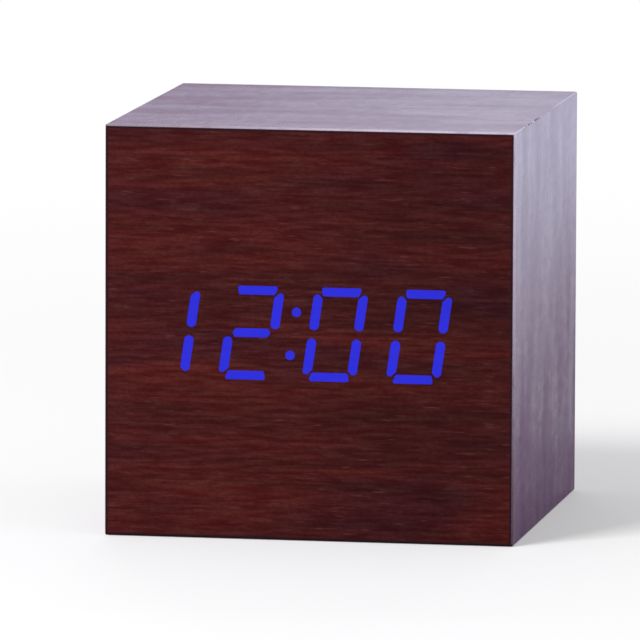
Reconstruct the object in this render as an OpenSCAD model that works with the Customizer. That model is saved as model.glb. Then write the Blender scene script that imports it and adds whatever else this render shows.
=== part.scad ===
// Wooden cube alarm clock: four mitred side boards, a thin wood-grain front that a
// four-digit display shines through, and a moulded rear cover with the battery bay,
// three push buttons and the power jack.
// Millimetres. +Z is up, the front faces -Y, and the origin is the middle of the underside.

/* [Case] */
// Outer width of the case
case_w = 62; // [61.5:0.5:76]
// Outer height of the case
case_h = 62; // [61:0.5:76]
// Outer depth of the case, from the front face to the rear rim
case_d = 62; // [56:0.5:90]
// Thickness of the four side boards
wall_t = 3; // [2.6:0.1:3.2]
// Rounding of the four long outer edges
arris_r = 0.3; // [0.2:0.1:1]
// Chamfer round the front and rear rims
rim_chamfer = 0.25; // [0.1:0.05:0.6]
// Thickness of the wood-grain skin on the front
skin_t = 0.5; // [0.3:0.1:1]
// Distance from the case's outline to the edge of the skin
skin_inset = 0.25; // [0:0.05:0.6]
// Thickness of the board behind the skin
front_board_t = 5; // [4:0.5:8]
// Gap round a board, cover or jack that is set into an opening
fit_gap = 0.1; // [0.05:0.05:0.3]
// Side of the square sticks glued into the corners
block_w = 5; // [4.6:0.1:5.4]
// Length of the corner sticks
block_l = 18; // [12:1:24]

/* [Display] */
// Middle of the display, to the right of the face's middle
display_x = -2.3; // [-2.4:0.1:2.4]
// Middle of the display, above the face's middle
display_z = 0.2; // [-5:0.1:5]
// Height of a digit
digit_h = 14.2; // [12:0.1:16]
// Width of a digit
digit_w = 8.2; // [8:0.05:8.6]
// Distance from one digit to the next
digit_pitch = 12.7; // [11.5:0.1:12.8]
// Lean of the digits from upright, in degrees
digit_lean = 8.3; // [0:0.1:9]
// Width of an upright segment
segment_w = 1.4; // [1.3:0.05:1.7]
// Thickness of a bar
bar_w = 1.3; // [1.2:0.05:1.7]
// Cut across the corners of an upright and the points of the middle bar
segment_bevel = 0.65; // [0.5:0.05:0.7]
// Slope of the ends of the top and bottom bars
bar_bevel = 0.4; // [0.3:0.05:0.75]
// Rounding of an upright's cut corners
segment_r = 0.45; // [0.1:0.05:0.55]
// Rounding of a bar's corners
bar_r = 0.3; // [0.1:0.05:0.35]
// Rounding of the uprights' ends at the middle of a digit
segment_end_r = 0.65; // [0.1:0.05:0.65]
// Half the opening between the upper and lower upright segments
segment_part = 0.65; // [0.4:0.05:0.8]
// Distance from the middle line of the top or bottom bar to the end of an upright segment
upright_drop = 0.4; // [0.3:0.05:0.6]
// Distance from the middle line of the uprights to an end of the top or bottom bar
bar_drop = 0.3; // [0.3:0.025:0.6]
// Distance from the middle line of the uprights to a point of the middle bar
crossbar_drop = 0.5; // [0.5:0.05:0.8]
// Diameter of the colon's two dots
dot_d = 1.4; // [1:0.1:2]
// Height of the colon's dots above and below the middle of the digits
dot_rise = 3.25; // [2.5:0.05:4.5]
// Play round a lens in its cell and a lit segment in its window
segment_fit = 0.02; // [0.01:0.01:0.05]
// Solid margin of the reflector left and right of the outer digits
reflector_side = 0.4; // [0.3:0.05:0.5]
// Solid margin of the reflector above and below the digits
reflector_edge = 2.4; // [1.5:0.1:3]
// Thickness of the lens at the front of each reflector cell
lens_t = 1; // [0.6:0.1:1.5]
// Length of a light-emitting chip
led_l = 1.6; // [1:0.1:2]
// Width of a light-emitting chip
led_w = 0.8; // [0.5:0.1:1]
// Height of a light-emitting chip
led_h = 0.7; // [0.4:0.1:1]

/* [Circuit boards] */
// Thickness of both circuit boards
board_t = 1.6; // [1:0.1:2]
// Gap from a circuit board's edge to the case
board_gap = 0.5; // [0.3:0.1:1]
// Height of the display board
display_board_h = 30; // [29:0.5:34]
// Height of the control board
control_board_h = 10.6; // [9.6:0.1:11]
// Distance from a board's side edge to its screws
board_screw_edge = 2.4; // [2.2:0.1:3]
// Length of the clock chip
chip_l = 17.9; // [17.8:0.1:20]
// Width of the clock chip's body
chip_w = 7.5; // [6:0.1:9]
// Height of the clock chip's body
chip_h = 2.3; // [1.5:0.1:3]
// Gap under the clock chip's body
chip_stand = 0.1; // [0.05:0.05:0.3]
// Height of the display's middle above the clock chip
chip_drop = 4; // [3:0.5:6]
// Leads along each side of the clock chip
chip_leads = 14; // [8:1:14]
// Distance from lead to lead
chip_lead_pitch = 1.27; // [1:0.01:1.27]
// Width of a chip's lead
chip_lead_w = 0.45; // [0.3:0.05:0.6]
// Thickness of a chip's lead
chip_lead_t = 0.25; // [0.15:0.05:0.3]
// Reach of a chip's lead from the body to the end of its foot
chip_lead_l = 1.5; // [1:0.1:2]
// Watch crystal, to the right of the middle
crystal_x = 16; // [14:0.5:20]
// Diameter of the watch crystal's can
crystal_d = 2; // [1.5:0.1:3]
// Length of the watch crystal's can
crystal_l = 6; // [5:0.5:8]
// Supply capacitor, to the right of the middle
capacitor_x = -17; // [-20:0.5:-12]
// Diameter of the supply capacitor
capacitor_d = 5; // [4:0.5:8]
// Height of the supply capacitor
capacitor_h = 7; // [5:0.5:11]
// Depth of the groove round the supply capacitor
capacitor_groove = 0.3; // [0.1:0.1:0.5]
// Height of that groove above the board
capacitor_groove_rise = 1.1; // [0.8:0.1:2]
// Height of the crystal and the capacitor above the display's middle
parts_rise = 6; // [5:0.5:8]
// Ribbon cable and its sockets, to the right of the middle
socket_x = -1; // [-2:0.5:0]
// Length of a ribbon socket
socket_l = 10; // [9:0.5:11]
// Width of a ribbon socket
socket_w = 4.6; // [4:0.1:5]
// Height of a ribbon socket above its board
socket_h = 5.8; // [4:0.1:8]
// Distance from the display board's upper edge to its socket
socket_edge = 1.5; // [0.5:0.1:2]
// Gap round a ribbon end or a contact in its slot
slot_gap = 0.1; // [0.05:0.05:0.15]
// Width of the ribbon cable
ribbon_w = 7.6; // [5:0.1:8.2]
// Thickness of the ribbon cable
ribbon_t = 1; // [0.6:0.1:1.4]
// Diameter of the battery leads
lead_d = 1.2; // [0.8:0.1:1.6]
// Distance from a control board screw to the battery lead beside it
lead_to_screw = 1.5; // [1:0.1:3]
// Slack of the battery leads towards the front
lead_bow = 8; // [4:0.5:12]

/* [Screws] */
// Shank diameter of the circuit board screws
board_screw_d = 2; // [1.6:0.1:2.4]
// Length of the circuit board screws under the head
board_screw_l = 5; // [4:0.5:5.5]
// Head diameter of the circuit board screws
board_screw_head_d = 3.6; // [3:0.1:4]
// Head height of the circuit board screws
board_screw_head_h = 1.4; // [1:0.1:1.8]
// Diameter across the top of those heads
board_screw_top_d = 2.8; // [2.4:0.1:3.4]
// Shank diameter of the cover screws
cover_screw_d = 2.2; // [1.8:0.1:2.4]
// Length of the cover screws
cover_screw_l = 11; // [8:0.5:14]
// Head diameter of the cover screws
cover_screw_head_d = 4; // [3.4:0.1:4.2]
// Play round a screw's shank
screw_gap = 0.03; // [0.02:0.01:0.1]
// Depth of a blind hole past the tip of its screw
tip_gap = 0.3; // [0.1:0.1:0.5]
// Length of the cross recess in a screw's head
recess_l = 2.2; // [1.6:0.1:2.4]
// Width of the cross recess
recess_w = 0.5; // [0.3:0.05:0.7]
// Depth of the cross recess
recess_depth = 0.8; // [0.5:0.1:0.9]

/* [Rear cover] */
// Thickness of the cover's plate
cover_t = 2.6; // [2.4:0.1:3.2]
// Depth of the cover's face inside the rear rim
cover_recess = 1.2; // [1.2:0.1:3]
// Diameter of the bosses that the control board is screwed to
boss_d = 4.4; // [4:0.1:5]

/* [Battery bay] */
// Diameter of a cell
cell_d = 10.5; // [10:0.1:10.7]
// Length of a cell over its nub
cell_l = 44.5; // [42:0.1:44.7]
// Diameter of a cell's nub
nub_d = 3.8; // [3:0.1:5]
// Height of a cell's nub
nub_h = 0.9; // [0.6:0.1:1.4]
// Rounding of a cell's shoulder and of its nub's edge
cell_shoulder = 0.5; // [0.2:0.1:0.8]
// Width of the rim round a cell's flat end
cell_rim = 1.2; // [0.8:0.1:1.4]
// Depth of the flat end inside that rim
cell_dish = 0.2; // [0.1:0.05:0.3]
// Radial play of a cell in its cradle
cell_gap = 0.2; // [0.1:0.05:0.3]
// Distance from one cell's axis to the next
cell_pitch = 11.2; // [11.1:0.1:11.4]
// Room between the cells and the door
cell_to_door = 0.3; // [0.2:0.05:1]
// Thickness of the bay's walls and floor
bay_wall = 1.2; // [1:0.1:1.6]
// Clearance from the bay down to the corner sticks
bay_to_block = 0.3; // [0.2:0.1:1]
// Thickness of the sheet-metal contacts
contact_t = 0.4; // [0.2:0.05:0.5]
// Width of a contact
contact_w = 8; // [6:0.5:9]
// Height of the dimple that meets a cell's nub
dimple_h = 0.3; // [0.2:0.05:0.5]
// Diameter of that dimple
dimple_d = 2.8; // [2:0.1:3]
// Width of a contact's solder tab
tab_w = 3; // [2:0.5:4]
// Length of a solder tab behind the bay's floor
tab_l = 1.6; // [1:0.1:3]
// Pressed length of a contact spring
spring_l = 3.3; // [3:0.1:4]
// Wire diameter of a contact spring
spring_wire_d = 0.5; // [0.4:0.05:0.6]
// Outer diameter of a contact spring at the contact
spring_base_d = 7.6; // [6.5:0.1:8]
// Outer diameter of a contact spring at the cell
spring_tip_d = 4; // [3.5:0.1:5]
// Turns of a contact spring
spring_turns = 3; // [2:0.5:3]

/* [Battery door] */
// Thickness of the door
door_t = 1.4; // [1.2:0.1:1.6]
// Overlap of the door on the cover, all round the bay
door_lap = 1; // [0.8:0.1:1.1]
// Gap round the door
door_gap = 0.15; // [0.1:0.05:0.25]
// Gap under the door where it seats on the cover
door_seat = 0.05; // [0.02:0.01:0.1]
// Corner radius of the door's upper corners
door_r = 1.2; // [0.5:0.1:2]
// Radius of the round lower edge that the door turns on
barrel_r = 1.1; // [0.9:0.05:1.2]
// Diameter of the hinge pins
pin_d = 1; // [0.8:0.05:1.1]
// Length of the hinge pins
pin_l = 1.3; // [1:0.1:1.5]
// Radial play of the hinge pins
pin_gap = 0.05; // [0.02:0.01:0.08]
// Width of the latch
latch_w = 8; // [6:0.5:12]
// Thickness of the latch's spring strip
latch_t = 0.8; // [0.6:0.05:1]
// Inner radius of the latch's bend
latch_bend_r = 0.8; // [0.6:0.05:1]
// Gap round the latch in its notch
latch_gap = 0.25; // [0.2:0.05:0.4]
// Height of the latch's catch
catch_h = 0.6; // [0.5:0.05:0.8]
// Length of the slope that leads to the catch
catch_run = 1.2; // [0.8:0.1:1.6]
// Height of the lip that a fingertip pulls on the latch
thumb_h = 0.8; // [0.4:0.1:1]
// Grip ridges on the door
grip_count = 4; // [2:1:6]
// Length of the longest grip ridge
grip_l = 16; // [8:1:24]
// Distance from one grip ridge to the next
grip_pitch = 1.6; // [1.2:0.1:2]
// Width of a grip ridge
grip_w = 0.7; // [0.4:0.1:0.9]
// Height of a grip ridge above the door
grip_h = 0.4; // [0.2:0.1:0.6]
// Distance from the door's upper edge to its first grip ridge
grip_drop = 4; // [2:0.5:8]

/* [Controls] */
// Middle button, to the right of the middle seen from the front
button_x = 6.2; // [5.5:0.1:6.6]
// Distance from one button to the next
button_pitch = 7.6; // [7.2:0.1:7.7]
// Diameter of a button
button_d = 5.6; // [4:0.1:6]
// Height of a button above the cover
button_proud = 0.8; // [0.7:0.1:1.1]
// Chamfer round a button's face
button_chamfer = 0.4; // [0.2:0.1:0.6]
// Diameter of the flange that keeps a button in
button_flange_d = 6.6; // [6.4:0.1:7]
// Thickness of that flange
button_flange_t = 1; // [0.8:0.1:1.4]
// Radial play of a button in the cover
button_gap = 0.1; // [0.05:0.05:0.15]
// Travel of a button
button_travel = 0.5; // [0.3:0.05:0.6]
// Size of the printed mark over a button
mark_w = 1.4; // [1:0.1:1.5]
// Gap between a button and its mark
mark_gap = 0.8; // [0.5:0.1:0.9]
// Thickness of the print
mark_h = 0.1; // [0.05:0.05:0.3]
// Width of the ring that marks the first button
mark_ring_w = 0.35; // [0.25:0.05:0.4]
// Side of a switch body
switch_w = 6; // [5:0.1:6.2]
// Height of a switch body
switch_h = 3.5; // [3:0.1:4]
// Diameter of a switch's plunger
plunger_d = 3.5; // [2.5:0.1:3.8]
// Height of the plunger above the switch body
plunger_rise = 0.8; // [0.7:0.1:1.2]
// Length of the plunger inside the switch body
plunger_depth = 1; // [0.8:0.1:1.5]
// Power jack, to the right of the middle seen from the front
jack_x = -13.8; // [-14:0.1:-13]
// Side of the power jack's body
jack_w = 7; // [6.6:0.1:7.2]
// Diameter of the power jack's nose
jack_nose_d = 6; // [5.2:0.1:6.4]
// Diameter of the power jack's tail, which stands in the control board
jack_tail_d = 5.2; // [4.8:0.1:6]
// Bore of the power jack
jack_bore_d = 3.6; // [3.4:0.05:3.8]
// Depth of the power jack's bore
jack_bore_l = 9.5; // [8.5:0.1:11]
// Thickness of the bore's floor
jack_floor_t = 1; // [0.8:0.1:1.5]
// Diameter of the power jack's centre pin
jack_pin_d = 1.3; // [1:0.05:1.4]
// Diameter of the pin's root in the floor
jack_root_d = 2; // [1.6:0.1:2.4]
// Depth of the centre pin's tip inside the jack's mouth
jack_pin_recess = 1.5; // [1:0.1:2]
// Thickness of the jack's contact leaf
leaf_t = 0.3; // [0.2:0.05:0.4]
// Width of the jack's contact leaf
leaf_w = 1; // [0.8:0.1:1.4]
// Play round the leaf in its slot
leaf_gap = 0.05; // [0.02:0.01:0.1]
// Microphone, to the right of the middle seen from the front
mic_x = -7.6; // [-7.8:0.1:-7.4]
// Diameter of the microphone
mic_d = 4; // [3:0.1:4.2]
// Height of the microphone
mic_h = 2; // [1.5:0.1:3]
// Width of the rim folded over the microphone's front
mic_rim = 0.5; // [0.3:0.1:0.8]
// Depth of the front inside that rim
mic_dish = 0.3; // [0.1:0.1:0.5]
// Diameter of the sound hole over the microphone
mic_hole_d = 1.5; // [1:0.1:2]
// Buzzer, to the right of the middle seen from the front
buzzer_x = 11; // [10:0.1:12]
// Diameter of the buzzer
buzzer_d = 9; // [7:0.1:9.4]
// Height of the buzzer
buzzer_h = 4.5; // [3:0.1:6]
// Diameter of the buzzer's sound hole
buzzer_hole_d = 1.8; // [1:0.1:3]
// Depth of the buzzer's sound hole
buzzer_hole_l = 2; // [1:0.1:2.5]

/* [Hidden] */
$fn = 48;

// Overrun of a cut past the face that it opens, and of a piece into one that it is fused with
past = 1;

// Half the width and the lower and upper limits of the space inside the side boards
room_x = case_w / 2 - wall_t;
room_low = wall_t;
room_high = case_h - wall_t;

// Depths from the front to the rear, along Y
front_y = -case_d / 2;
rear_y = case_d / 2;
rim_y = front_y + skin_t;
front_board_y = rim_y + front_board_t;
display_board_y = front_board_y + board_t;
cover_out_y = rear_y - cover_recess;
cover_in_y = cover_out_y - cover_t;
flange_in_y = cover_in_y - button_gap - button_flange_t;
switch_top_y = flange_in_y - plunger_rise;
control_face_y = switch_top_y - switch_h;
control_back_y = control_face_y - board_t;

// The four corner sticks, which take the cover screws
CORNERS = [
    for (x = [-1, 1], z = [room_low + block_w / 2, room_high - block_w / 2])
        [x * (room_x - block_w / 2), z]
];

// Display
face_z = case_h / 2 + display_z;
column_x = (digit_w - segment_w) / 2;
row_z = (digit_h - segment_w) / 2;
lean = tan(digit_lean);
bar_l = 2 * (column_x - bar_drop);
crossbar_l = 2 * (column_x - crossbar_drop);
upright_l = row_z - segment_part - upright_drop;
// The arcs on an upright's cut corners stay within the cuts and the edge between them
end_edge = segment_w - segment_bevel * 3 / 2;
corner_r = min(segment_r, 0.8 * segment_bevel, 1.1 * end_edge);
DIGIT_X = [for (i = [0:3]) display_x + (i - 1.5) * digit_pitch];
SEGMENTS = "abcdefg";
LIT = ["bc", "abdeg", "abcdef", "abcdef"];
reflector_w = 3 * digit_pitch + digit_w + lean * (digit_h - segment_w) + 2 * reflector_side;
reflector_h = digit_h + 2 * reflector_edge;

// Boards, their screws and what stands on them
display_board_x = room_x - board_gap;
display_screw_x = display_board_x - board_screw_edge;
display_screw_z = display_board_h / 2 - board_screw_edge;
DISPLAY_SCREWS = [for (x = [-1, 1], z = [-1, 1]) [x * display_screw_x, face_z + z * display_screw_z]];
board_screw_hole_d = board_screw_d + 2 * screw_gap;
control_z = room_high - board_gap - control_board_h / 2;
control_board_x = room_x - block_w - board_gap;
control_screw_x = control_board_x - board_screw_edge;
CONTROL_SCREWS = [for (x = [-1, 1]) [x * control_screw_x, control_z]];
chip_z = face_z - chip_drop;
parts_z = face_z + parts_rise;
display_socket_z = face_z + display_board_h / 2 - socket_edge - socket_w / 2;
ribbon_depth = socket_h / 2;
lead_x = control_screw_x - lead_to_screw;
lead_z = control_z - control_board_h / 2 + lead_d;

// Controls
SET_X = button_x + button_pitch;
UP_X = button_x;
DOWN_X = button_x - button_pitch;
plunger_foot_y = switch_top_y - plunger_depth;
jack_floor_y = cover_out_y - jack_bore_l;
leaf_x = jack_x + jack_bore_d / 2;
cover_screw_head_h = (cover_screw_head_d - cover_screw_d) / 2;

// Battery bay
door_in_y = cover_out_y - door_t;
cradle_r = cell_d / 2 + cell_gap;
cell_y = door_in_y - cell_to_door - cell_d / 2;
bay_back_y = cell_y - cradle_r - bay_wall;
bay_low = room_low + block_w + bay_to_block + bay_wall;
bay_high = bay_low + 2 * cradle_r + 2 * cell_pitch;
bay_x = (2 * contact_t + spring_l + cell_l + dimple_h) / 2;
CELL_Z = [for (i = [0:2]) bay_low + cradle_r + i * cell_pitch];
// Contact sheets stay inside the cradles that they stand in
contact_rise = sqrt(pow(cradle_r, 2) - pow(contact_w / 2, 2)) - slot_gap;

// Battery door
door_x = bay_x + door_lap;
door_low = bay_low - door_lap;
door_high = bay_high + door_lap;
hinge_y = cover_out_y - barrel_r;
hinge_z = door_low + barrel_r;
latch_low = bay_high + bay_wall + latch_gap;
latch_high = latch_low + 2 * (latch_t + latch_bend_r);
latch_bend_y = cover_in_y - latch_bend_r - latch_t;
notch_high = latch_high + latch_gap;

// Colours
WOOD = "#45201f";
BARE_BOARD = "#a98258";
GLOW = "#2d2be0";
PALE = "#e8e8e2";
BLACK = "#1c1c1e";
BOARD_GREEN = "#1f5a36";
METAL = "#b9bcc0";
CELL_GREEN = "#7f9a3c";

function unit(v) = v / norm(v);

// A point on a cubic curve with four control points
function bezier(p, t) =
    let (s = 1 - t)
    s * s * s * p[0] + 3 * s * s * t * p[1] + 3 * s * t * t * p[2] + t * t * t * p[3];

// An outline with each corner replaced by an arc of its own radius
function rounded(points, radii, steps = 4) =
    let (count = len(points))
    [
        for (i = [0:count - 1])
            let (
                p = points[i],
                r = radii[i],
                before = unit(points[(i + count - 1) % count] - p),
                after = unit(points[(i + 1) % count] - p),
                half = acos(before * after) / 2,
                middle = p + unit(before + after) * r / sin(half),
                start = p + before * r / tan(half) - middle,
                stop = p + after * r / tan(half) - middle
            )
            for (k = [0:steps]) middle + r * unit(start * (1 - k / steps) + stop * k / steps)
    ];

// Leaning the digits moves a point sideways in step with its height
function leaned(points) = [for (p = points) [p.x + p.y * lean, p.y]];

// Segments a, d and g are the top, bottom and middle bars, and the others are the uprights
function is_upright(name) = name != "a" && name != "d" && name != "g";
function side_of(name) = name == "b" || name == "c" ? 1 : -1;
function half_of(name) = name == "a" || name == "b" || name == "f" ? 1 : -1;

// The middle of a segment in its digit, before the digit leans
function segment_middle(name) =
    name == "g" ? [0, 0] :
    is_upright(name) ? [side_of(name) * column_x, half_of(name) * (segment_part + upright_l / 2)] :
    [0, half_of(name) * row_z];

// The upper right upright, with its two upper corners cut to clear the top bar
function upright_points(fit) =
    let (
        inner = column_x - segment_w / 2 - fit,
        outer = column_x + segment_w / 2 + fit,
        low = segment_part - fit,
        high = segment_part + upright_l + fit
    )
    [
        [inner, low], [outer, low], [outer, high - segment_bevel / 2],
        [outer - segment_bevel / 2, high], [inner + segment_bevel, high], [inner, high - segment_bevel]
    ];

// The top bar, longer on its outer edge
function bar_points(fit) =
    let (
        end = bar_l / 2 + fit,
        low = row_z - bar_w / 2 - fit,
        high = row_z + bar_w / 2 + fit
    )
    [[-end, high], [-end + bar_bevel, low], [end - bar_bevel, low], [end, high]];

// The middle bar, pointed at both ends
function crossbar_points(fit) =
    let (
        tip = crossbar_l / 2 + fit,
        end = tip - segment_bevel * 2 / 3,
        high = bar_w / 2 + fit
    )
    [[-end, -high], [end, -high], [tip, 0], [end, high], [-end, high], [-tip, 0]];

// The outline of a segment, grown by fit all round
function segment_points(name, fit) =
    name == "g" ? crossbar_points(fit) :
    is_upright(name) ? [for (p = upright_points(fit)) [side_of(name) * p.x, half_of(name) * p.y]] :
    [for (p = bar_points(fit)) [p.x, half_of(name) * p.y]];

// The rounding of each corner of a segment, where an upright starts with its end at the middle
function segment_radii(name) =
    let (count = len(segment_points(name, 0)))
    [for (i = [0:count - 1]) !is_upright(name) ? bar_r : i < 2 ? segment_end_r : corner_r];

// Rings of a round tube along a path that never runs along X
function tube_ring(p, along, r, sides) =
    let (u = unit(cross(along, [1, 0, 0])), v = cross(along, u))
    [for (i = [0:sides - 1]) p + r * (cos(360 * i / sides) * u + sin(360 * i / sides) * v)];

function tube_rings(path, r, sides) =
    let (last = len(path) - 1)
    [
        for (i = [0:last])
            each tube_ring(path[i], unit(path[min(i + 1, last)] - path[max(i - 1, 0)]), r, sides)
    ];

// A contact spring about the X axis, from the contact at X = 0 to the cell
SPRING_STEPS = 12;
function spring_path() =
    let (last = spring_turns * SPRING_STEPS)
    [
        for (i = [0:last])
            let (
                t = i / last,
                r = (spring_base_d * (1 - t) + spring_tip_d * t - spring_wire_d) / 2,
                turn = 360 * i / SPRING_STEPS
            )
            [spring_wire_d / 2 + t * (spring_l - spring_wire_d), r * cos(turn), r * sin(turn)]
    ];

// Least distance between two stretches of a spring that are over half a turn apart
function spring_gap(path) =
    min([
        for (i = [0:len(path) - 1], k = [i + SPRING_STEPS / 2:1:len(path) - 1]) norm(path[i] - path[k])
    ]) - spring_wire_d;

echo(str("least gap between a contact spring's turns: ", spring_gap(spring_path()), " mm"));

module box_between(low, high) {
    translate(low) cube(high - low);
}

// A rod along Y
module y_rod(x, z, d, y0, y1) {
    translate([x, y0, z]) rotate([-90, 0, 0]) cylinder(d = d, h = y1 - y0);
}

// A rod along X
module x_rod(y, z, d, x0, x1) {
    translate([x0, y, z]) rotate([0, 90, 0]) cylinder(d = d, h = x1 - x0);
}

// An X-Z outline given thickness along Y
module face_plate(y0, y1) {
    translate([0, y1, 0]) rotate([90, 0, 0]) linear_extrude(y1 - y0) children();
}

// A Y-Z outline given thickness along X
module side_plate(x0, x1) {
    translate([x0, 0, 0]) rotate([90, 0, 90]) linear_extrude(x1 - x0) children();
}

// A profile turned about an axis along Y, with its length measured from y
module y_turned(x, y, z, profile) {
    translate([x, y, z]) rotate([-90, 0, 0]) rotate_extrude() polygon(profile);
}

// What is drawn on the right, or on the left where side is -1
module on_side(side) {
    mirror([side > 0 ? 0 : 1, 0, 0]) children();
}

module rounded_square(w, h, r) {
    square([w - 2 * r, h], center = true);
    square([w, h - 2 * r], center = true);
    for (x = [-1, 1], y = [-1, 1]) translate([x * (w / 2 - r), y * (h / 2 - r)]) circle(r);
}

module tube(path, d, sides) {
    rings = len(path);
    end = (rings - 1) * sides;
    points = tube_rings(path, d / 2, sides);
    walls = [
        for (k = [0:rings - 2], i = [0:sides - 1])
            let (a = k * sides + i, b = k * sides + (i + 1) % sides)
            each [[a, b, b + sides], [a, b + sides, a + sides]]
    ];
    caps = [for (i = [1:sides - 2]) each [[0, i + 1, i], [end, end + i, end + i + 1]]];
    polyhedron(points, concat(walls, caps));
}

// A cross sunk from Z = 0 upwards
module cross_recess() {
    for (turn = [0, 90]) rotate([0, 0, turn])
        translate([-recess_l / 2, -recess_w / 2, -past]) cube([recess_l, recess_w, recess_depth + past]);
}

// A screw whose head bears at y, driven along +Y, or along -Y where way is -1
module board_screw(x, y, z, way) {
    translate([x, y, z]) rotate([way * -90, 0, 0]) difference() {
        union() {
            cylinder(d = board_screw_d, h = board_screw_l);
            translate([0, 0, -board_screw_head_h])
                cylinder(d1 = board_screw_top_d, d2 = board_screw_head_d, h = board_screw_head_h);
        }
        translate([0, 0, -board_screw_head_h]) cross_recess();
    }
}

// Case

// The upper board of a case that is w wide and h high, about the case's middle
module wall_board(w, h) {
    reach = wall_t + past;
    difference() {
        intersection() {
            face_plate(rim_y, rear_y) difference() {
                rounded_square(w, h, arris_r);
                square([w - 2 * wall_t, h - 2 * wall_t], center = true);
            }
            face_plate(rim_y - past, rear_y + past) translate([0, h / 2]) polygon([
                [-w / 2 - past, past], [-w / 2 + reach, -reach],
                [w / 2 - reach, -reach], [w / 2 + past, past]
            ]);
        }
        side_plate(-w / 2 - past, w / 2 + past) for (end = [[rim_y, 1], [rear_y, -1]])
            polygon([
                [end[0] - end[1] * past, h / 2 + past],
                [end[0] - end[1] * past, h / 2 - rim_chamfer - past],
                [end[0] + end[1] * (rim_chamfer + past), h / 2 + past]
            ]);
    }
}

// A side board, turned from the top to its own side of the case
module side_board(turn, w, h) {
    color(WOOD) translate([0, 0, case_h / 2]) rotate([0, turn, 0]) wall_board(w, h);
}

module corner_blocks() {
    hole_d = cover_screw_d + 2 * screw_gap;
    color(BARE_BOARD) for (c = CORNERS) difference() {
        translate([c.x - block_w / 2, cover_in_y - block_l, c.y - block_w / 2])
            cube([block_w, block_l, block_w]);
        y_rod(c.x, c.y, hole_d, cover_out_y - cover_screw_l - tip_gap, cover_in_y + past);
    }
}

module front_board() {
    color(BARE_BOARD) difference() {
        box_between([-room_x + fit_gap, rim_y, room_low + fit_gap],
                    [room_x - fit_gap, front_board_y, room_high - fit_gap]);
        face_plate(rim_y - past, front_board_y + past) translate([display_x, face_z])
            square([reflector_w + 2 * fit_gap, reflector_h + 2 * fit_gap], center = true);
        for (s = DISPLAY_SCREWS)
            y_rod(s.x, s.y, board_screw_hole_d,
                  display_board_y - board_screw_l - tip_gap, front_board_y + past);
    }
}

// Display

module segment_outline(name, fit) {
    polygon(rounded(leaned(segment_points(name, fit)), segment_radii(name)));
}

module colon_outline(fit) {
    for (z = [-dot_rise, dot_rise])
        translate([display_x + z * lean, face_z + z]) circle(d = dot_d + 2 * fit);
}

// The colon, and in each digit the segments that are named for it
module display_outline(named, fit = 0) {
    for (i = [0:3], s = named[i]) translate([DIGIT_X[i], face_z]) segment_outline(s, fit);
    colon_outline(fit);
}

ALL_SEGMENTS = [for (x = DIGIT_X) SEGMENTS];

module front_skin() {
    color(WOOD) face_plate(front_y, rim_y) difference() {
        translate([0, case_h / 2])
            rounded_square(case_w - 2 * skin_inset, case_h - 2 * skin_inset, arris_r);
        display_outline(LIT, segment_fit);
    }
}

module lit_segments() {
    color(GLOW) face_plate(front_y, rim_y) display_outline(LIT);
}

module display_reflector() {
    color(PALE) face_plate(rim_y, front_board_y) difference() {
        translate([display_x, face_z]) square([reflector_w, reflector_h], center = true);
        display_outline(ALL_SEGMENTS, segment_fit);
    }
}

module segment_lenses() {
    color(PALE) face_plate(rim_y, rim_y + lens_t) display_outline(ALL_SEGMENTS);
}

// One chip behind the middle of each segment and each dot
module led_chips() {
    color("#e9d36b") face_plate(front_board_y - led_h, front_board_y) {
        for (x = DIGIT_X, s = SEGMENTS)
            translate([x, face_z] + leaned([segment_middle(s)])[0])
                square(is_upright(s) ? [led_w, led_l] : [led_l, led_w], center = true);
        for (z = [-dot_rise, dot_rise]) translate([display_x + z * lean, face_z + z]) circle(d = led_w);
    }
}

module display_board() {
    color(BOARD_GREEN) difference() {
        box_between([-display_board_x, front_board_y, face_z - display_board_h / 2],
                    [display_board_x, display_board_y, face_z + display_board_h / 2]);
        for (s = DISPLAY_SCREWS)
            y_rod(s.x, s.y, board_screw_hole_d, front_board_y - past, display_board_y + past);
    }
}

module display_board_screws() {
    color(METAL) for (s = DISPLAY_SCREWS) board_screw(s.x, display_board_y, s.y, -1);
}

// A lead that leaves the chip's upper side at half its height and bends down to the board
module chip_lead(x) {
    exit = chip_stand + chip_h / 2;
    knee = 2 * chip_lead_t;
    side_plate(x - chip_lead_w / 2, x + chip_lead_w / 2) translate([0, chip_w / 2]) polygon([
        [exit, -chip_lead_t], [exit + chip_lead_t, -chip_lead_t], [exit + chip_lead_t, knee],
        [chip_lead_t, knee], [chip_lead_t, chip_lead_l], [0, chip_lead_l],
        [0, knee - chip_lead_t], [exit, knee - chip_lead_t]
    ]);
}

module clock_chip() {
    color(BLACK) translate([0, display_board_y, chip_z]) {
        box_between([-chip_l / 2, chip_stand, -chip_w / 2], [chip_l / 2, chip_stand + chip_h, chip_w / 2]);
        for (i = [0:chip_leads - 1], turn = [0, 1])
            mirror([0, 0, turn]) chip_lead((i - (chip_leads - 1) / 2) * chip_lead_pitch);
    }
}

module clock_crystal() {
    color(METAL) x_rod(display_board_y + crystal_d / 2, parts_z, crystal_d,
                       crystal_x - crystal_l / 2, crystal_x + crystal_l / 2);
}

module supply_capacitor() {
    r = capacitor_d / 2;
    waist = r - capacitor_groove;
    color("#2b3350") y_turned(capacitor_x, display_board_y, parts_z, [
        [0, 0], [r, 0], [r, capacitor_groove_rise - capacitor_groove], [waist, capacitor_groove_rise],
        [r, capacitor_groove_rise + capacitor_groove], [r, capacitor_h - capacitor_groove],
        [waist, capacitor_h], [0, capacitor_h]
    ]);
}

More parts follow.
